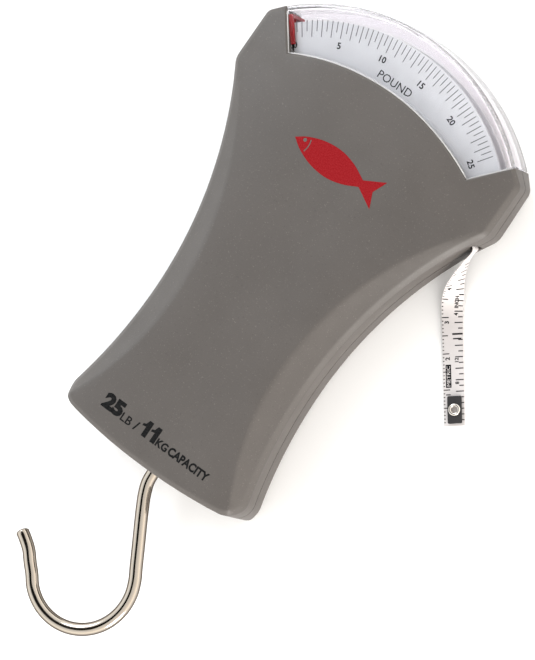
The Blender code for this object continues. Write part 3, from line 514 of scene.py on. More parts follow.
def dress(obj, material):
    obj.data.materials.clear()
    obj.data.materials.append(material)


def bridged(bm, rings):
    """Quads between neighbouring rings of vertices."""
    for one, two in zip(rings, rings[1:]):
        for n in range(len(one)):
            bm.faces.new((one[n - 1], one[n], two[n], two[n - 1]))


def lofted(name, rings, material, sharp=35):
    """A solid through rings of points, closed at both ends."""
    bm = bmesh.new()
    rings = [[bm.verts.new(p) for p in ring] for ring in rings]
    bridged(bm, rings)
    bm.faces.new(rings[0])
    bm.faces.new(rings[-1][::-1])
    return solid(name, bm, material, sharp)


def place_piece(obj, body, slot, *nodes):
    """Attach a piece to the body it rides and hide the frame's nodes that it stands for. The slot is not
    used.
    """
    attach(obj, body)
    if nodes:
        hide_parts(*nodes)


def evaluated_mesh(obj):
    bpy.context.view_layer.update()
    return bpy.data.meshes.new_from_object(obj.evaluated_get(bpy.context.evaluated_depsgraph_get()))


def boolean(obj, other, operation):
    """Join a tool to an object or cut it away, and use the tool up."""
    modifier = obj.modifiers.new(operation, "BOOLEAN")
    modifier.operation = operation
    modifier.solver = "MANIFOLD"
    modifier.object = other
    mesh = evaluated_mesh(obj)
    obj.modifiers.clear()
    old = obj.data
    obj.data = mesh
    bpy.data.meshes.remove(old)
    bpy.data.objects.remove(other)


def fill(outline, loose):
    """Points and triangles of the flat region in an outline, through loose points inside it."""
    points = [Vector(p) for p in list(outline) + loose]
    made = geometry.delaunay_2d_cdt(points, [], [list(range(len(outline)))], 1, 1e-6)
    return made[0], made[2]


def inside(points, outline):
    """Which of the points lie inside a closed outline."""
    x, y = np.asarray(points, float).T[:, :, None]
    x1, y1 = np.asarray(outline, float).T
    x2, y2 = np.roll((x1, y1), -1, axis=1)
    run = np.where(np.abs(y2 - y1) < 1e-9, 1e-9, y2 - y1)
    crosses = ((y1 > y) != (y2 > y)) & (x < x1 + (y - y1) * (x2 - x1) / run)
    return np.sum(crosses, axis=1) % 2 == 1


def distance_to(points, line):
    """Distance from each point to the nearest point of a dense line."""
    gaps = np.asarray(points, float)[:, None] - np.asarray(line, float)
    return np.linalg.norm(gaps, axis=2).min(axis=1)


def extruded(name, outline, low, high, material, bevel=0.0):
    """An upright solid over an outline, its rims rounded by the bevel."""
    bm = bmesh.new()
    face = bm.faces.new([bm.verts.new((x, y, low)) for x, y in outline])
    made = bmesh.ops.extrude_face_region(bm, geom=[face])["geom"]
    for vert in [g for g in made if isinstance(g, bmesh.types.BMVert)]:
        vert.co.z = high
    if bevel:
        flat = [e for e in bm.edges if abs(e.verts[0].co.z - e.verts[1].co.z) < 1e-6]
        bmesh.ops.bevel(bm, geom=flat, offset=bevel, segments=2, affect="EDGES", profile=0.5)
    bmesh.ops.triangulate(bm, faces=[f for f in bm.faces if len(f.verts) > 4])
    return solid(name, bm, material)


def turned(name, profile, at, material, axis="Z", sides=64):
    """A closed profile of (radius, height) points, turned about an axis through a point."""
    bm = bmesh.new()
    ring = [bm.verts.new((radius, 0.0, height)) for radius, height in profile]
    edges = [bm.edges.new((ring[n - 1], ring[n])) for n in range(len(ring))]
    bmesh.ops.spin(bm, geom=ring + edges, cent=(0, 0, 0), axis=(0, 0, 1), angle=2 * math.pi,
                   steps=sides, use_merge=True)
    bmesh.ops.remove_doubles(bm, verts=bm.verts[:], dist=1e-3)
    bmesh.ops.delete(bm, geom=[e for e in bm.edges if not e.link_faces], context="EDGES")
    if axis == "Y":
        bmesh.ops.rotate(bm, verts=bm.verts[:], matrix=Matrix.Rotation(-math.pi / 2, 3, "X"))
    bmesh.ops.translate(bm, verts=bm.verts[:], vec=Vector(at).to_3d())
    return solid(name, bm, material)


def rod(radius, low, high, at, axis="Z", sides=32):
    profile = [(NEAR_AXIS, low), (radius, low), (radius, high), (NEAR_AXIS, high)]
    return turned("rod", profile, at, None, axis, sides)


def box(size, at, turn):
    """A block centred on a point and turned about the vertical."""
    bm = bmesh.new()
    bmesh.ops.create_cube(bm, size=1.0)
    bmesh.ops.scale(bm, verts=bm.verts[:], vec=size)
    matrix = Matrix.Translation(at) @ Matrix.Rotation(turn, 4, "Z")
    bmesh.ops.transform(bm, verts=bm.verts[:], matrix=matrix)
    return solid("box", bm, None)


def tool(*solids):
    """Several separate cutters as one object."""
    bm = bmesh.new()
    for obj in solids:
        bm.from_mesh(obj.data)
        bpy.data.objects.remove(obj)
    mesh = bpy.data.meshes.new("tool")
    bm.to_mesh(mesh)
    bm.free()
    return linked("tool", mesh)


def smooth_route(anchors, spacing):
    """Points about evenly along a Catmull-Rom curve through anchors of three or four numbers."""
    points = [Vector(a) for a in anchors]
    ends = [points[0] * 2 - points[1]] + points + [points[-1] * 2 - points[-2]]
    route = []
    for n in range(1, len(ends) - 2):
        a, b, c, d = ends[n - 1:n + 3]
        steps = max(1, round((c.xyz - b.xyz).length / spacing))
        for k in range(steps):
            t = k / steps
            route.append(0.5 * (2 * b + (c - a) * t + (2 * a - 5 * b + 4 * c - d) * t ** 2
                                + (3 * b - a - 3 * c + d) * t ** 3))
    route.append(points[-1])
    return route


def heading(places, n):
    """The direction of a route at its nth place."""
    return (places[min(n + 1, len(places) - 1)] - places[max(n - 1, 0)]).normalized()


def tube(name, places, radii, sides, material):
    """A round wire through places, with a radius at each."""
    rings = []
    for n, (place, radius) in enumerate(zip(places, radii)):
        along = heading(places, n)
        side = along.cross(UP).normalized()
        over = side.cross(along)
        rings.append([place + (side * math.cos(a) + over * math.sin(a)) * radius
                      for a in np.linspace(0, 2 * math.pi, sides, endpoint=False)])
    return lofted(name, rings, material, 40)


# ---- flat print: ticks, numerals, words

class Print:
    """Flat shapes drawn in a surface's own plane, then carried onto it as thin solids."""

    def __init__(self):
        self.points = []
        self.faces = []

    def add(self, points, faces):
        start = len(self.points)
        self.points += [tuple(p) for p in points]
        self.faces += [tuple(start + n for n in face) for face in faces]

    def turned_over(self):
        """The same print for a surface whose second direction runs the other way."""
        made = Print()
        made.add([(x, -y) for x, y in self.points], [face[::-1] for face in self.faces])
        return made

    def bar(self, start, along, length, width):
        """A bar that runs from a point along a direction."""
        start = Vector(start)
        ahead = Vector(along).normalized()
        side = Vector((-ahead.y, ahead.x)) * (width / 2)
        end = start + ahead * length
        self.add([start - side, start + side, end + side, end - side], [(0, 1, 2, 3)])

    def shape(self, outline, spacing):
        """A filled outline with inner points, so that it can follow a curved surface."""
        across, along = [np.arange(min(side), max(side), spacing) for side in zip(*outline)]
        grid = [(x, y) for x in across for y in along]
        keep = inside(grid, outline) & (distance_to(grid, outline) > spacing * 0.5)
        self.add(*fill(outline, [p for p, k in zip(grid, keep) if k]))

    def words(self, text, height, at, turn=0.0, bold=0.0, width=None, left=False):
        """Plain lettering of a cap height, centred on a point or starting there, turned in degrees."""
        curve = bpy.data.curves.new("words", "FONT")
        curve.body = text
        curve.offset = bold
        curve.resolution_u = 3
        obj = linked("words", curve)
        mesh = evaluated_mesh(obj)
        flat = np.array([v.co[:2] for v in mesh.vertices])
        low = flat.min(axis=0)
        size = flat.max(axis=0) - low
        tall = height / size[1]
        wide = width / size[0] if width else tall
        flat = (flat - low - size * (0.0 if left else 0.5, 0.5)) * (wide, tall)
        spin = Matrix.Rotation(math.radians(turn), 2)
        faces = [tuple(p.vertices) for p in mesh.polygons]
        self.add([Vector(at) + spin @ Vector(p) for p in flat], faces)
        bpy.data.objects.remove(obj)
        bpy.data.curves.remove(curve)
        bpy.data.meshes.remove(mesh)

    def object(self, name, material, surface, depth=0.03, sink=0.01):
        """Carry the print onto a surface, which gives a place and a normal for each flat point."""
        bm = bmesh.new()
        tops = []
        feet = []
        for x, y in self.points:
            place, normal = surface(x, y)
            tops.append(bm.verts.new(place + normal * depth))
            feet.append(bm.verts.new(place - normal * sink))
        edges = {}
        for face in self.faces:
            bm.faces.new([tops[n] for n in face])
            bm.faces.new([feet[n] for n in reversed(face)])
            edges.update(dict.fromkeys(zip(face, face[1:] + face[:1])))
        for a, b in edges:
            if (b, a) not in edges:
                bm.faces.new((tops[a], feet[a], feet[b], tops[b]))
        return solid(name, bm, material)


# ---- tape

def tape_frames():
    """Places along the tape with the directions across its flat side and out of its printed side."""
    route = smooth_route(TAPE_ROUTE, 0.6)
    places = [p.xyz for p in route]
    rows = []
    length = 0.0
    for n, point in enumerate(route):
        ahead = heading(places, n)
        flat = UP.cross(ahead).normalized()
        up = ahead.cross(flat)
        turn = Matrix.Rotation(math.radians(point.w), 3, ahead)
        if n:
            length += (places[n] - places[n - 1]).length
        rows.append((length, places[n], turn @ flat, turn @ up))
    return rows


def tape_point(rows, along, across):
    """The place and normal at a distance from the tape's free end and from its centre line."""
    at = rows[-1][0] - along
    lengths = [row[0] for row in rows]
    n = min(max(int(np.searchsorted(lengths, at)), 1), len(rows) - 1)
    one, two = rows[n - 1:n + 1]
    share = (at - one[0]) / (two[0] - one[0])
    place, side, out = [a.lerp(b, share) for a, b in zip(one[1:], two[1:])]
    out.normalize()
    return place + side.normalized() * across + out * (TAPE_THICKNESS / 2), out


def tape_strip(looks, rows):
    """The ribbon, with rounded edges."""
    half = TAPE_WIDTH / 2
    flat = half - TAPE_BEVEL
    thick = TAPE_THICKNESS / 2
    right = [(flat, -thick), (half, -thick / 2), (half, thick / 2), (flat, thick)]
    section = right + [(-a, -b) for a, b in right]
    rings = [[place + side * a + out * b for a, b in section] for _, place, side, out in rows]
    return lofted("tape_ribbon", rings, looks["tape"])


def tape_marks():
    """Centimetres along one edge and inches along the other, both counted from the free end."""
    marks = Print()
    for n in range(1, 50):
        length = 1.9 if n % 10 == 0 else 1.6 if n % 5 == 0 else 0.42
        marks.bar((n, -TAPE_EDGE), (0, 1), length, 0.26)
    for n in range(1, 31):
        length = 3.0 if n % 16 == 0 else 2.3 if n % 2 == 0 else 1.3
        marks.bar((n * INCH / 16, TAPE_EDGE), (0, -1), length, 0.46 if n % 16 == 0 else 0.28)
    marks.bar((10.6, 1.5 - TAPE_EDGE), (1, 0), 6.4, 1.6)
    figures = Print()
    for number in (1, 2, 3, 4):
        figures.words(str(number), 1.3, (number * 10 - 1.35, TAPE_EDGE - 1.35), bold=0.035)
    figures.words("1", 2.4, (INCH - 1.3, 1.6 - TAPE_EDGE))
    for quarter in (1, 2, 3, 5):
        figures.words(str(quarter % 4 * 4), 1.1, (quarter * INCH / 4 - 0.85, 1.9 - TAPE_EDGE), bold=0.03)
    figures.words("INCH", 1.1, (INCH + 9.0, 1.8 - TAPE_EDGE), bold=0.02)
    over = figures.turned_over()
    marks.add(over.points, over.faces)
    unit = Print()
    unit.words("METRIC", 1.0, (13.8, TAPE_EDGE - 1.5), width=5.6)
    return marks, unit.turned_over()


def make_tape(looks):
    rows = tape_frames()
    strip = tape_strip(looks, rows)
    marks, unit = tape_marks()
    marks = marks.object("tape_scale_print", looks["tape_ink"], lambda x, y: tape_point(rows, x, y), 0.02)
    unit = unit.object("tape_unit_print", looks["tape"], lambda x, y: tape_point(rows, x, y))
    place_piece(strip, "case", "tape_white", "tape_strip")
    place_piece(marks, "case", "tape_white")
    place_piece(unit, "case", "tape_white")
    plate, eyelet = tape_end(looks)


def tape_end(looks):
    """The stiff black end plate and its rolled eyelet."""
    tip = Vector(TAPE_ROUTE[-1][:2])
    back = (Vector(TAPE_ROUTE[-2][:2]) - tip).normalized()
    centre = tip + back * END_PLATE_BACK + Vector((back.y, -back.x)) * END_PLATE_SHIFT
    turn = Matrix.Rotation(math.atan2(back.y, back.x), 4, "Z")
    long, wide = END_PLATE_HALF
    corners = [(long, wide), (-long, wide), (-long, -wide), (long, -wide)]
    outline = []
    for n, corner in enumerate(corners):
        outline += rounded(corners[n - 1], corner, corners[(n + 1) % 4], 0.35, 4)
    plate = extruded("tape_end_tab", outline, *END_PLATE_Z, looks["plate"], 0.1)
    boolean(plate, rod(EYELET_RADIUS, 0.5, 2.0, (0, 0), sides=40), "DIFFERENCE")
    smooth_by_angle(plate)
    plate.data.transform(Matrix.Translation(centre.to_3d() * MM) @ turn)
    turns = np.linspace(0, math.pi, 12)
    lip = [(EYELET_RADIUS + 0.45 * math.cos(a), 1.5 + 0.42 * math.sin(a)) for a in turns]
    ring = lip + [(0.86, 1.4), (0.86, 0.87), (1.15, 0.87), (1.15, 1.42), (1.7, 1.42)]
    eyelet = turned("tape_eyelet_ring", ring, centre, looks["eyelet"], sides=48)
    place_piece(plate, "case", "black_plate", "tape_end_plate")
    place_piece(eyelet, "case", "eyelet_metal", "tape_eyelet")
    return plate, eyelet


# ---- case

def half_width(y):
    radius = UPPER_RADIUS if y > WAIST_Y else LOWER_RADIUS
    return min(WAIST_X + radius - math.sqrt(radius ** 2 - (y - WAIST_Y) ** 2), EAR_X)


def scoop_x(y):
    radius = SCOOP_UPPER_RADIUS if y > SCOOP_Y else SCOOP_LOWER_RADIUS
    return SCOOP_X + radius - math.sqrt(radius ** 2 - (y - SCOOP_Y) ** 2)


def crown(x, y):
    side = max(0.0, abs(x) - LAND) / CROWN_SPAN
    top = max(0.0, y - TOP_DROP_FROM) / TOP_DROP_SPAN
    return THICKNESS - CROWN_DROP * side ** 2 - TOP_DROP * top ** 2


def face_height(x, y):
    """Height of the front face: a shallow crown, cut down by a dished scoop with a rounded crease."""
    start = scoop_x(y)
    end = half_width(y)
    if abs(x) <= start or start >= end:
        return crown(x, y)
    share = min(1.0, (abs(x) - start) / (end - start))
    eased = share - SCOOP_EASE / 2 if share > SCOOP_EASE else share ** 2 / (2 * SCOOP_EASE)
    eased /= 1 - SCOOP_EASE / 2
    dish = 1.25 * eased - 0.25 * eased ** 2
    return crown(start, y) + (EDGE_Z - crown(start, y)) * dish


def window_corner():
    """Where the window's inner arc meets its side."""
    turn = math.radians(WINDOW_ANGLE)
    beyond = math.sqrt(WINDOW_ARC_RADIUS ** 2 - (WINDOW_ARC_Y * math.sin(turn)) ** 2)
    return polar(WINDOW_ARC_Y * math.cos(turn) + beyond, WINDOW_ANGLE)


def window_reach():
    """The half angle of the window's inner arc, about the arc's own centre."""
    return math.degrees(math.asin(window_corner()[0] / WINDOW_ARC_RADIUS))


def ear_low_y():
    return WAIST_Y + math.sqrt(UPPER_RADIUS ** 2 - (WAIST_X + UPPER_RADIUS - EAR_X) ** 2)


def bottom_y(x):
    return BOTTOM_Y + BOTTOM_RADIUS - math.sqrt(BOTTOM_RADIUS ** 2 - x ** 2)


def case_outline():
    """The case seen from the front, clockwise from the top of the window's inner arc."""
    half = arc(WINDOW_ARC_RADIUS, 0.0, window_reach(), 24, (0.0, WINDOW_ARC_Y))
    inner = Vector(window_corner())
    lens_end = Vector(polar(LENS_RADIUS, WINDOW_ANGLE))
    half += [tuple(inner.lerp(lens_end, share)) for share in (0.2, 0.4, 1.0)]
    ear_low = ear_low_y()
    side_y = ear_low - 6.0
    half += rounded(lens_end, (EAR_X, EAR_TOP_Y), (EAR_X, ear_low), EAR_TOP_RADIUS)
    half += [(EAR_X, y) for y in (36.0, 32.0, 28.0)]
    half += rounded((EAR_X, EAR_TOP_Y), (EAR_X, ear_low), (half_width(side_y), side_y), EAR_LOW_RADIUS)
    corner_y = bottom_y(half_width(BOTTOM_Y))
    corner_x = half_width(corner_y)
    run = BOTTOM_CORNER_RADIUS * 1.4
    corner = rounded((half_width(corner_y + run), corner_y + run), (corner_x, bottom_y(corner_x)),
                     (corner_x - run, bottom_y(corner_x - run)), BOTTOM_CORNER_RADIUS, 12)
    half += [(half_width(y), y) for y in np.linspace(side_y, corner[0][1] + 1.0, 46).tolist()]
    half += corner
    half += [(x, bottom_y(x)) for x in np.linspace(corner[-1][0] - 1.5, 0.0, 10).tolist()]
    return mirrored(half)


def on_window(one, two):
    x = abs(one[0] + two[0]) / 2
    y = (one[1] + two[1]) / 2
    return y > 0 and math.degrees(math.atan2(x, y)) < WINDOW_ANGLE + 0.05 and math.hypot(x, y) < LENS_RADIUS


def inset(outline, distance, window_share=1.0):
    """The clockwise outline moved inwards, less far along the window."""
    moved = []
    for n, here in enumerate(outline):
        sides = []
        for one, two in ((outline[n - 1], here), (here, outline[(n + 1) % len(outline)])):
            run = Vector(two) - Vector(one)
            share = window_share if on_window(one, two) else 1.0
            sides.append((Vector((run.y, -run.x)).normalized(), distance * share))
        (a, da), (b, db) = sides
        cross = a.x * b.y - a.y * b.x
        if abs(cross) < 0.08:
            step = (a + b).normalized() * (da + db) / 2
        else:
            step = Vector(((da * b.y - db * a.y) / cross, (db * a.x - da * b.x) / cross))
        moved.append((here[0] + step.x, here[1] + step.y))
    return moved


def crease_lines():
    """Points along both sides of each scoop's crease."""
    points = []
    for side in (-1, 1):
        for share in (-0.02, 0.06, SCOOP_EASE + 0.02):
            for y in np.arange(BOTTOM_Y + 4.0, 24.0, 1.6).tolist():
                width = half_width(y) - scoop_x(y)
                if width > 2.2:
                    points.append((side * (scoop_x(y) + share * width), y))
    return points


def crowned(name, outline, profile, window_share, base, drop, grid, lines):
    """A solid over an outline: flat at base below, and following the face above, less drop."""
    bm = bmesh.new()
    rings = [[bm.verts.new((x, y, base)) for x, y in outline]]
    for distance, depth in profile:
        loop = inset(outline, distance, window_share) if distance else outline
        tops = []
        for n, (x, y) in enumerate(loop):
            here = outline[n]
            near = on_window(outline[n - 1], here) or on_window(here, outline[(n + 1) % len(outline)])
            share = window_share if near else 1.0
            tops.append(bm.verts.new((x, y, face_height(x, y) - drop - depth * share)))
        rings.append(tops)
    bridged(bm, rings)
    inner = [tuple(v.co.xy) for v in rings[-1]]
    across, along = np.max(np.abs(outline), axis=0)
    loose = [(x, y) for x in np.arange(-across, across, grid) for y in np.arange(-along, along, grid)]
    keep = inside(loose, inner) & (distance_to(loose, inner) > grid * 0.45)
    if lines:
        keep &= distance_to(loose, lines) > grid * 0.4
        fits = inside(lines, inner) & (distance_to(lines, inner) > 0.6)
        lines = [p for p, k in zip(lines, fits) if k]
    loose = [p for p, k in zip(loose, keep) if k] + lines
    points, faces = fill(inner, loose)
    verts = rings[-1] + [bm.verts.new((x, y, face_height(x, y) - drop)) for x, y in points[len(inner):]]
    for face in faces:
        bm.faces.new([verts[n] for n in face])
    bottom = bm.faces.new(rings[0][::-1])
    bmesh.ops.triangulate(bm, faces=[bottom])
    return solid(name, bm, None)


def case_half(name, bosses, holes, mirror, material):
    """One half of the case, modelled as the front half and mirrored to make the rear half."""
    outline = case_outline()
    base = SEAM_Z + SEAM_GAP / 2
    shell = crowned(name, outline, EDGE_PROFILE, WINDOW_RIM, base, 0.0, GRID, crease_lines())
    hollow = crowned("hollow", inset(outline, WALL), ((0.0, 0.0),), 1.0, base - 2, FACE_WALL, 4.0, [])
    boolean(shell, hollow, "DIFFERENCE")
    boolean(shell, tool(*[rod(*boss) for boss in bosses]), "UNION")
    if mirror:
        low = SEAM_Z - SEAM_GAP / 2 + 0.02
        tongue = extruded("tongue", inset(outline, TONGUE_INSET), low, base + 0.4, None)
        middle = extruded("tongue_middle", inset(outline, WALL - 0.02), low - 1, base + 1, None)
        boolean(tongue, middle, "DIFFERENCE")
        boolean(shell, tongue, "UNION")
    sector = arc(LENS_RADIUS + 1, -THROAT_ANGLE, THROAT_ANGLE, 48)
    sector += arc(THROAT_RADIUS, THROAT_ANGLE, -THROAT_ANGLE, 48)
    boolean(shell, extruded("throat", sector, base - 2, LENS_Z + 0.3, None), "DIFFERENCE")
    bore = rod(BUSH_RADIUS + 0.3, -4, 4, (HOOK_X, BOTTOM_Y, SEAM_Z), "Y", 64)
    slot = box((WALL * 4, SLOT_WIDTH, TAPE_WIDTH + 1.2), (*SLOT_AT, SEAM_Z), SLOT_NORMAL)
    boolean(shell, tool(bore, slot, *[rod(*hole) for hole in holes]), "DIFFERENCE")
    if mirror:
        flip = Matrix.Translation((0, 0, THICKNESS * MM)) @ Matrix.Scale(-1, 4, (0, 0, 1))
        shell.data.transform(flip)
        shell.data.flip_normals()
    dress(shell, material)
    return shell


def post_top(at):
    """Where a boss ends: inside the face wall, at the lowest place the boss spans."""
    return min(face_height(*polar(BOSS_RADIUS, turn, at)) for turn in range(0, 360, 30)) - FACE_WALL / 2


def make_case(looks):
    base = SEAM_Z + SEAM_GAP / 2
    posts = [(side * DIAL_POST[0], DIAL_POST[1]) for side in (-1, 1)]
    inner = {at: post_top(at) for at in (*CASE_SCREWS, *STANDOFFS, *posts)}
    bosses = [(BOSS_RADIUS, base, inner[at], at) for at in CASE_SCREWS]
    bosses += [(POST_RADIUS, DIAL_Z[1] + 0.3, inner[at], at) for at in posts]
    holes = [(SCREW_HOLE_RADIUS, base - 1, inner[at] - FACE_WALL, at) for at in CASE_SCREWS]
    front = case_half("front_shell", bosses, holes, False, looks["case"])
    smooth_by_angle(front, CASE_SHARP)
    place_piece(front, "case", "case_plastic", "front_housing")
    bosses += [(BOSS_RADIUS, THICKNESS - PLATE_REAR_LOW + 0.3, inner[at], at) for at in STANDOFFS]
    holes = [(SCREW_HOLE_RADIUS, base - 1, THICKNESS + 1, at) for at in CASE_SCREWS]
    holes += [(SCREW_HOLE_RADIUS, THICKNESS - PLATE_REAR_LOW, THICKNESS - 3.3, at) for at in STANDOFFS]
    rear = case_half("rear_shell", bosses, holes, True, looks["case"])
    recess = [rod(HEAD_RADIUS + 0.3, -1, THICKNESS - face_height(*at) + HEAD_DEPTH, at) for at in CASE_SCREWS]
    boolean(rear, tool(*recess), "DIFFERENCE")
    smooth_by_angle(rear, CASE_SHARP)
    place_piece(rear, "case", "case_plastic", "rear_housing")


def make_screws(looks):
    """Pan heads with a cross recess at the bottom of the rear recesses."""
    for number, at in enumerate(CASE_SCREWS, 1):
        head = THICKNESS - face_height(*at) + HEAD_DEPTH - 0.3
        tip = face_height(*at) - FACE_WALL * 2.5
        profile = [(max(HEAD_RADIUS * math.sin(a), NEAR_AXIS), head - 0.9 - 0.75 * math.cos(a))
                   for a in np.linspace(0, math.pi / 2, 9)]
        profile += [(HEAD_RADIUS, head), (SCREW_RADIUS, head), (SCREW_RADIUS, tip - 1), (NEAR_AXIS, tip)]
        screw = turned("case_screw_head_%d" % number, profile, at, looks["steel"], sides=40)
        for turn in (20.0 * number, 20.0 * number + 90.0):
            wing = box((2.1, 0.42, 1.6), (*at, head - 1.7), math.radians(turn))
            boolean(screw, wing, "DIFFERENCE")
        smooth_by_angle(screw)
        place_piece(screw, "case", "steel", "case_screw_%d" % number)


def on_face(x, y):
    """Place and normal on the front face."""
    step = 0.2
    here = face_height(x, y)
    slope_x = (face_height(x + step, y) - here) / step
    slope_y = (face_height(x, y + step) - here) / step
    return Vector((x, y, here)), Vector((-slope_x, -slope_y, 1.0)).normalized()


def fish_outline():
    """A plain fish, nose to the left: two bowed sides and a forked tail."""
    top = [(-15.0, 0.0), (-11.5, 2.2), (-6.5, 3.9), (-1.0, 4.3), (4.0, 3.2), (8.6, 1.1)]
    tail = [(14.8, 4.4), (12.8, 0.0), (14.8, -4.4)]
    low = [(x, -y) for x, y in reversed(top)]
    back, belly = [[tuple(p.xy) for p in smooth_route([(*p, 0.0) for p in side], 0.7)] for side in (top, low)]
    return back + tail + belly[:-1]


def on_badge(outline):
    return [(x + BADGE_AT[0], y + BADGE_AT[1]) for x, y in outline]


def make_face_print(looks):
    badge = Print()
    badge.shape(on_badge(fish_outline()), 1.0)
    place_piece(badge.object("fish_badge", looks["badge"], on_face, 0.05, 0.06), "case", "pointer_red")
    lines = Print()
    gill = arc(5.2, 68.0, 112.0, 12, (-15.2, 0.0)) + arc(4.7, 112.0, 68.0, 12, (-15.0, 0.0))
    eye = arc(0.55, 0.0, 345.0, 20, (-12.0, 0.9))
    for outline in (gill, eye):
        lines.shape(on_badge(outline), 1.0)
    lines = lines.object("fish_badge_lines", looks["case"], on_face, 0.06, 0.04)
    place_piece(lines, "case", "case_plastic")
    words = Print()
    line = (("25", 4.7, 0.065, -19.1, 6.9), ("LB", 2.4, 0.012, -12.0, 3.5), ("/", 2.7, 0.02, -7.4, 1.3),
            ("KG", 2.4, 0.035, 0.7, 3.9), ("CAPACITY", 2.6, 0.04, 5.1, 14.0))
    for text, height, bold, left, width in line:
        words.words(text, height, (left, CAPACITY_Y + height / 2), 0.0, bold, width, left=True)
    for left in (-5.4, -2.3):
        words.shape([(left + x, CAPACITY_Y + y) for x, y in NUMERAL_ONE], 1.0)
    words = words.object("capacity_print", looks["black_ink"], on_face, 0.03, 0.05)
    place_piece(words, "case", "black_plate")


# ---- lens and dials

def lens_section(depth, bend, steps):
    """The channel's section from the front pane to the rear one, at a depth inside its surface."""
    middle = (LENS_RADIUS - depth - bend, LENS_Z - depth - bend)
    half = [(LENS_INNER_RADIUS, LENS_Z - depth)] + arc(bend, 0.0, 90.0, steps, middle)
    return half + [(radius, THICKNESS - height) for radius, height in reversed(half)]


def make_lens(looks):
    """The clear cover: front pane, rim and rear pane, as one arched channel with rounded edges."""
    outside = lens_section(0.0, LENS_EDGE, 6)
    within = lens_section(LENS_WALL, LENS_INNER_BEND, 4)
    bm = bmesh.new()
    ring = [bm.verts.new((radius, 0.0, height)) for radius, height in outside + within[::-1]]
    section = bm.faces.new(ring)
    bmesh.ops.rotate(bm, verts=ring, matrix=Matrix.Rotation(math.radians(90 - LENS_ANGLE), 3, "Z"))
    bmesh.ops.spin(bm, geom=[section], cent=(0, 0, 0), axis=(0, 0, 1), angle=math.radians(2 * LENS_ANGLE),
                   steps=96)
    lens = solid("window_lens", bm, looks["clear"])
    place_piece(lens, "case", "clear_lens", "dial_lens")
    make_lens_lip(looks)


def make_lens_lip(looks):
    """A milky bead along the window's edge where the clear cover meets it: a painted highlight that stands in
    for the bright line of light there.
    """
    reach = window_reach()
    line = arc(WINDOW_ARC_RADIUS + 0.22, -reach, reach, 60, (0.0, WINDOW_ARC_Y))
    end = polar(LENS_RADIUS - 1.5, WINDOW_ANGLE - 0.22)
    line = [(-end[0], end[1])] + line + [end]
    places = [Vector((x, y, face_height(x, y) - 0.62)) for x, y in line]
    bead = tube("window_edge_highlight_bead", places, [0.2] * len(places), 10, looks["lip"])
    place_piece(bead, "case", "clear_lens")


def dial_outline():
    half = arc(DIAL_RADIUS, 0.0, DIAL_ANGLE, 48)
    half.append(polar(DIAL_TAB_RADIUS, DIAL_ANGLE))
    half += arc(3.2, 40.0, 200.0, 16, DIAL_POST)
    half += arc(DIAL_INNER_RADIUS, 44.0, 0.0, 32)
    return mirrored(half)


def dial_print(facing, full, step, big_every, label_every, unit):
    """Ticks round the rim from the pointer's rest to full, numerals and the unit, as seen from one side."""
    ticks = Print()
    numerals = Print()
    count = round(full / step)
    centre = (PRINT_CENTRE[0] * facing, PRINT_CENTRE[1])
    for n in range(count + 1):
        angle = facing * (-ZERO_ANGLE + (ZERO_ANGLE + FULL_ANGLE) * n / count)
        length = 4.7 if n % big_every == 0 else 3.1
        if n:
            ticks.bar(polar(TICK_RADIUS, angle, centre), polar(-1.0, angle), length, 0.24)
        if n % label_every == 0:
            place = polar(NUMERAL_RADIUS, min(max(angle, -LABEL_LIMIT), LABEL_LIMIT), centre)
            numerals.words("%g" % (n * step), 1.85, place, -angle, 0.022)
    angle = UNIT_ANGLE * facing
    numerals.words(unit, 2.3, polar(UNIT_RADIUS, angle, centre), -angle)
    return ticks, numerals


def make_dials(looks):
    low, high = DIAL_Z
    sides = (("front", 1, low, high, (25, 0.5, 2, 10, "POUND")),
             ("rear", -1, THICKNESS - high, THICKNESS - low, (11, 0.25, 2, 4, "KILOGRAM")))
    for name, facing, low, high, scale in sides:
        plate = extruded(name + "_dial_plate", dial_outline(), low, high, looks["dial"], 0.12)
        place_piece(plate, "case", "dial_print", name + "_dial")
        face = high if facing > 0 else low

        def surface(x, y, face=face, facing=facing):
            return Vector((x * facing, y, face)), Vector((0.0, 0.0, float(facing)))

        ticks, numerals = dial_print(facing, *scale)
        for kind, drawn, material in (("ticks", ticks, "tick"), ("numerals", numerals, "numeral")):
            made = drawn.object("%s_dial_%s" % (name, kind), looks[material], surface, 0.02)
            place_piece(made, "case", "dial_print")


# ---- hook

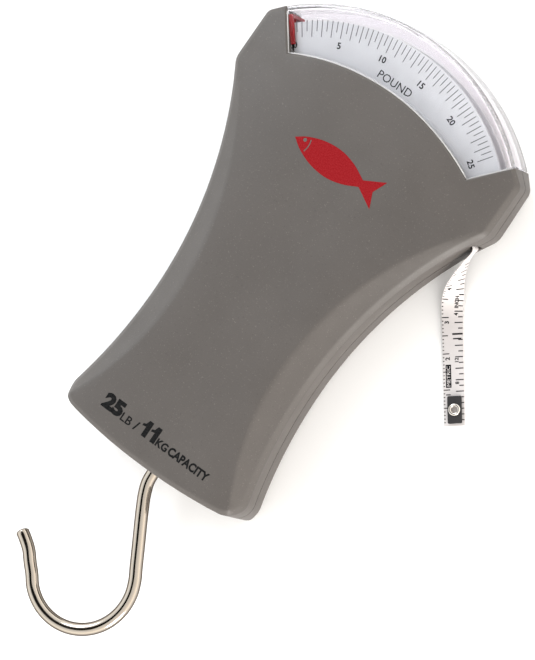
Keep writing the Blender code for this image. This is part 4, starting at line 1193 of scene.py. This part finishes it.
def make_hook(looks):
    """Round wire with a blunt, chamfered end."""
    shank = [(HOOK_X, HOOK_TOP_Y), (HOOK_X, -75.0), (HOOK_X, -82.5), (HOOK_X + 0.3, -85.0)]
    leg = [(2.6, -88.0), (5.2, -92.9), (9.4, -100.2), (12.6, -105.8)]
    bend = arc(HOOK_BEND_RADIUS, 62.0, 236.0, 12, HOOK_BEND_CENTRE)
    tip = [(-14.2, -122.5), (-16.6, -119.9), (-19.1, -118.1), (-21.6, -116.6)]
    anchors = [(x, y, SEAM_Z) for x, y in shank + leg + bend + tip]
    route = smooth_route(smooth_route(anchors, 3.2), 0.7)
    end = route[-1]
    ahead = (route[-1] - route[-2]).normalized()
    stations = [(p, HOOK_RADIUS) for p in route if (p - end).length > 0.75]
    stations += [(end - ahead * 0.6, HOOK_RADIUS), (end - ahead * 0.45, HOOK_RADIUS * 0.97),
                 (end - ahead * 0.1, HOOK_RADIUS * 0.78), (end, HOOK_RADIUS * 0.62)]
    places, radii = zip(*stations)
    hook = tube("hook_wire", places, radii, 32, looks["hook"])
    place_piece(hook, "hook", "hook_steel", "hook")


# ---- pieces kept from the frame

def finish_frame_nodes(looks):
    """Give every piece of the frame that is still seen, such as the pointer, the look of its slot."""
    by_slot = {"steel": "steel", "spring_steel": "spring", "brass": "brass", "nylon": "nylon",
               "tape_white": "tape", "hook_steel": "hook", "pointer_red": "pointer"}
    slots = {row["node"]: row["material_slot"] for row in frame["record"]["subparts"]}
    for name, node in frame["nodes"].items():
        if node.hide_render or slots[name] not in by_slot:
            continue
        dress(node, looks[by_slot[slots[name]]])


# ---- assembly

bpy.context.scene.view_settings.view_transform = "Standard"
set_up_camera()
looks = make_materials()
make_tape(looks)
make_hook(looks)
make_case(looks)
make_screws(looks)
make_face_print(looks)
make_lens(looks)
make_dials(looks)
finish_frame_nodes(looks)
set_up_world()
set_up_table()
area_light("right_softbox", (0.9, -0.62, 0.2), 1.2, 0.6, 12.0, (1.0, 0.965, 0.93))
area_light("left_softbox", (-0.75, 0.3, 0.7), 1.3, 0.7, 7.0, (0.9, 0.95, 1.0))
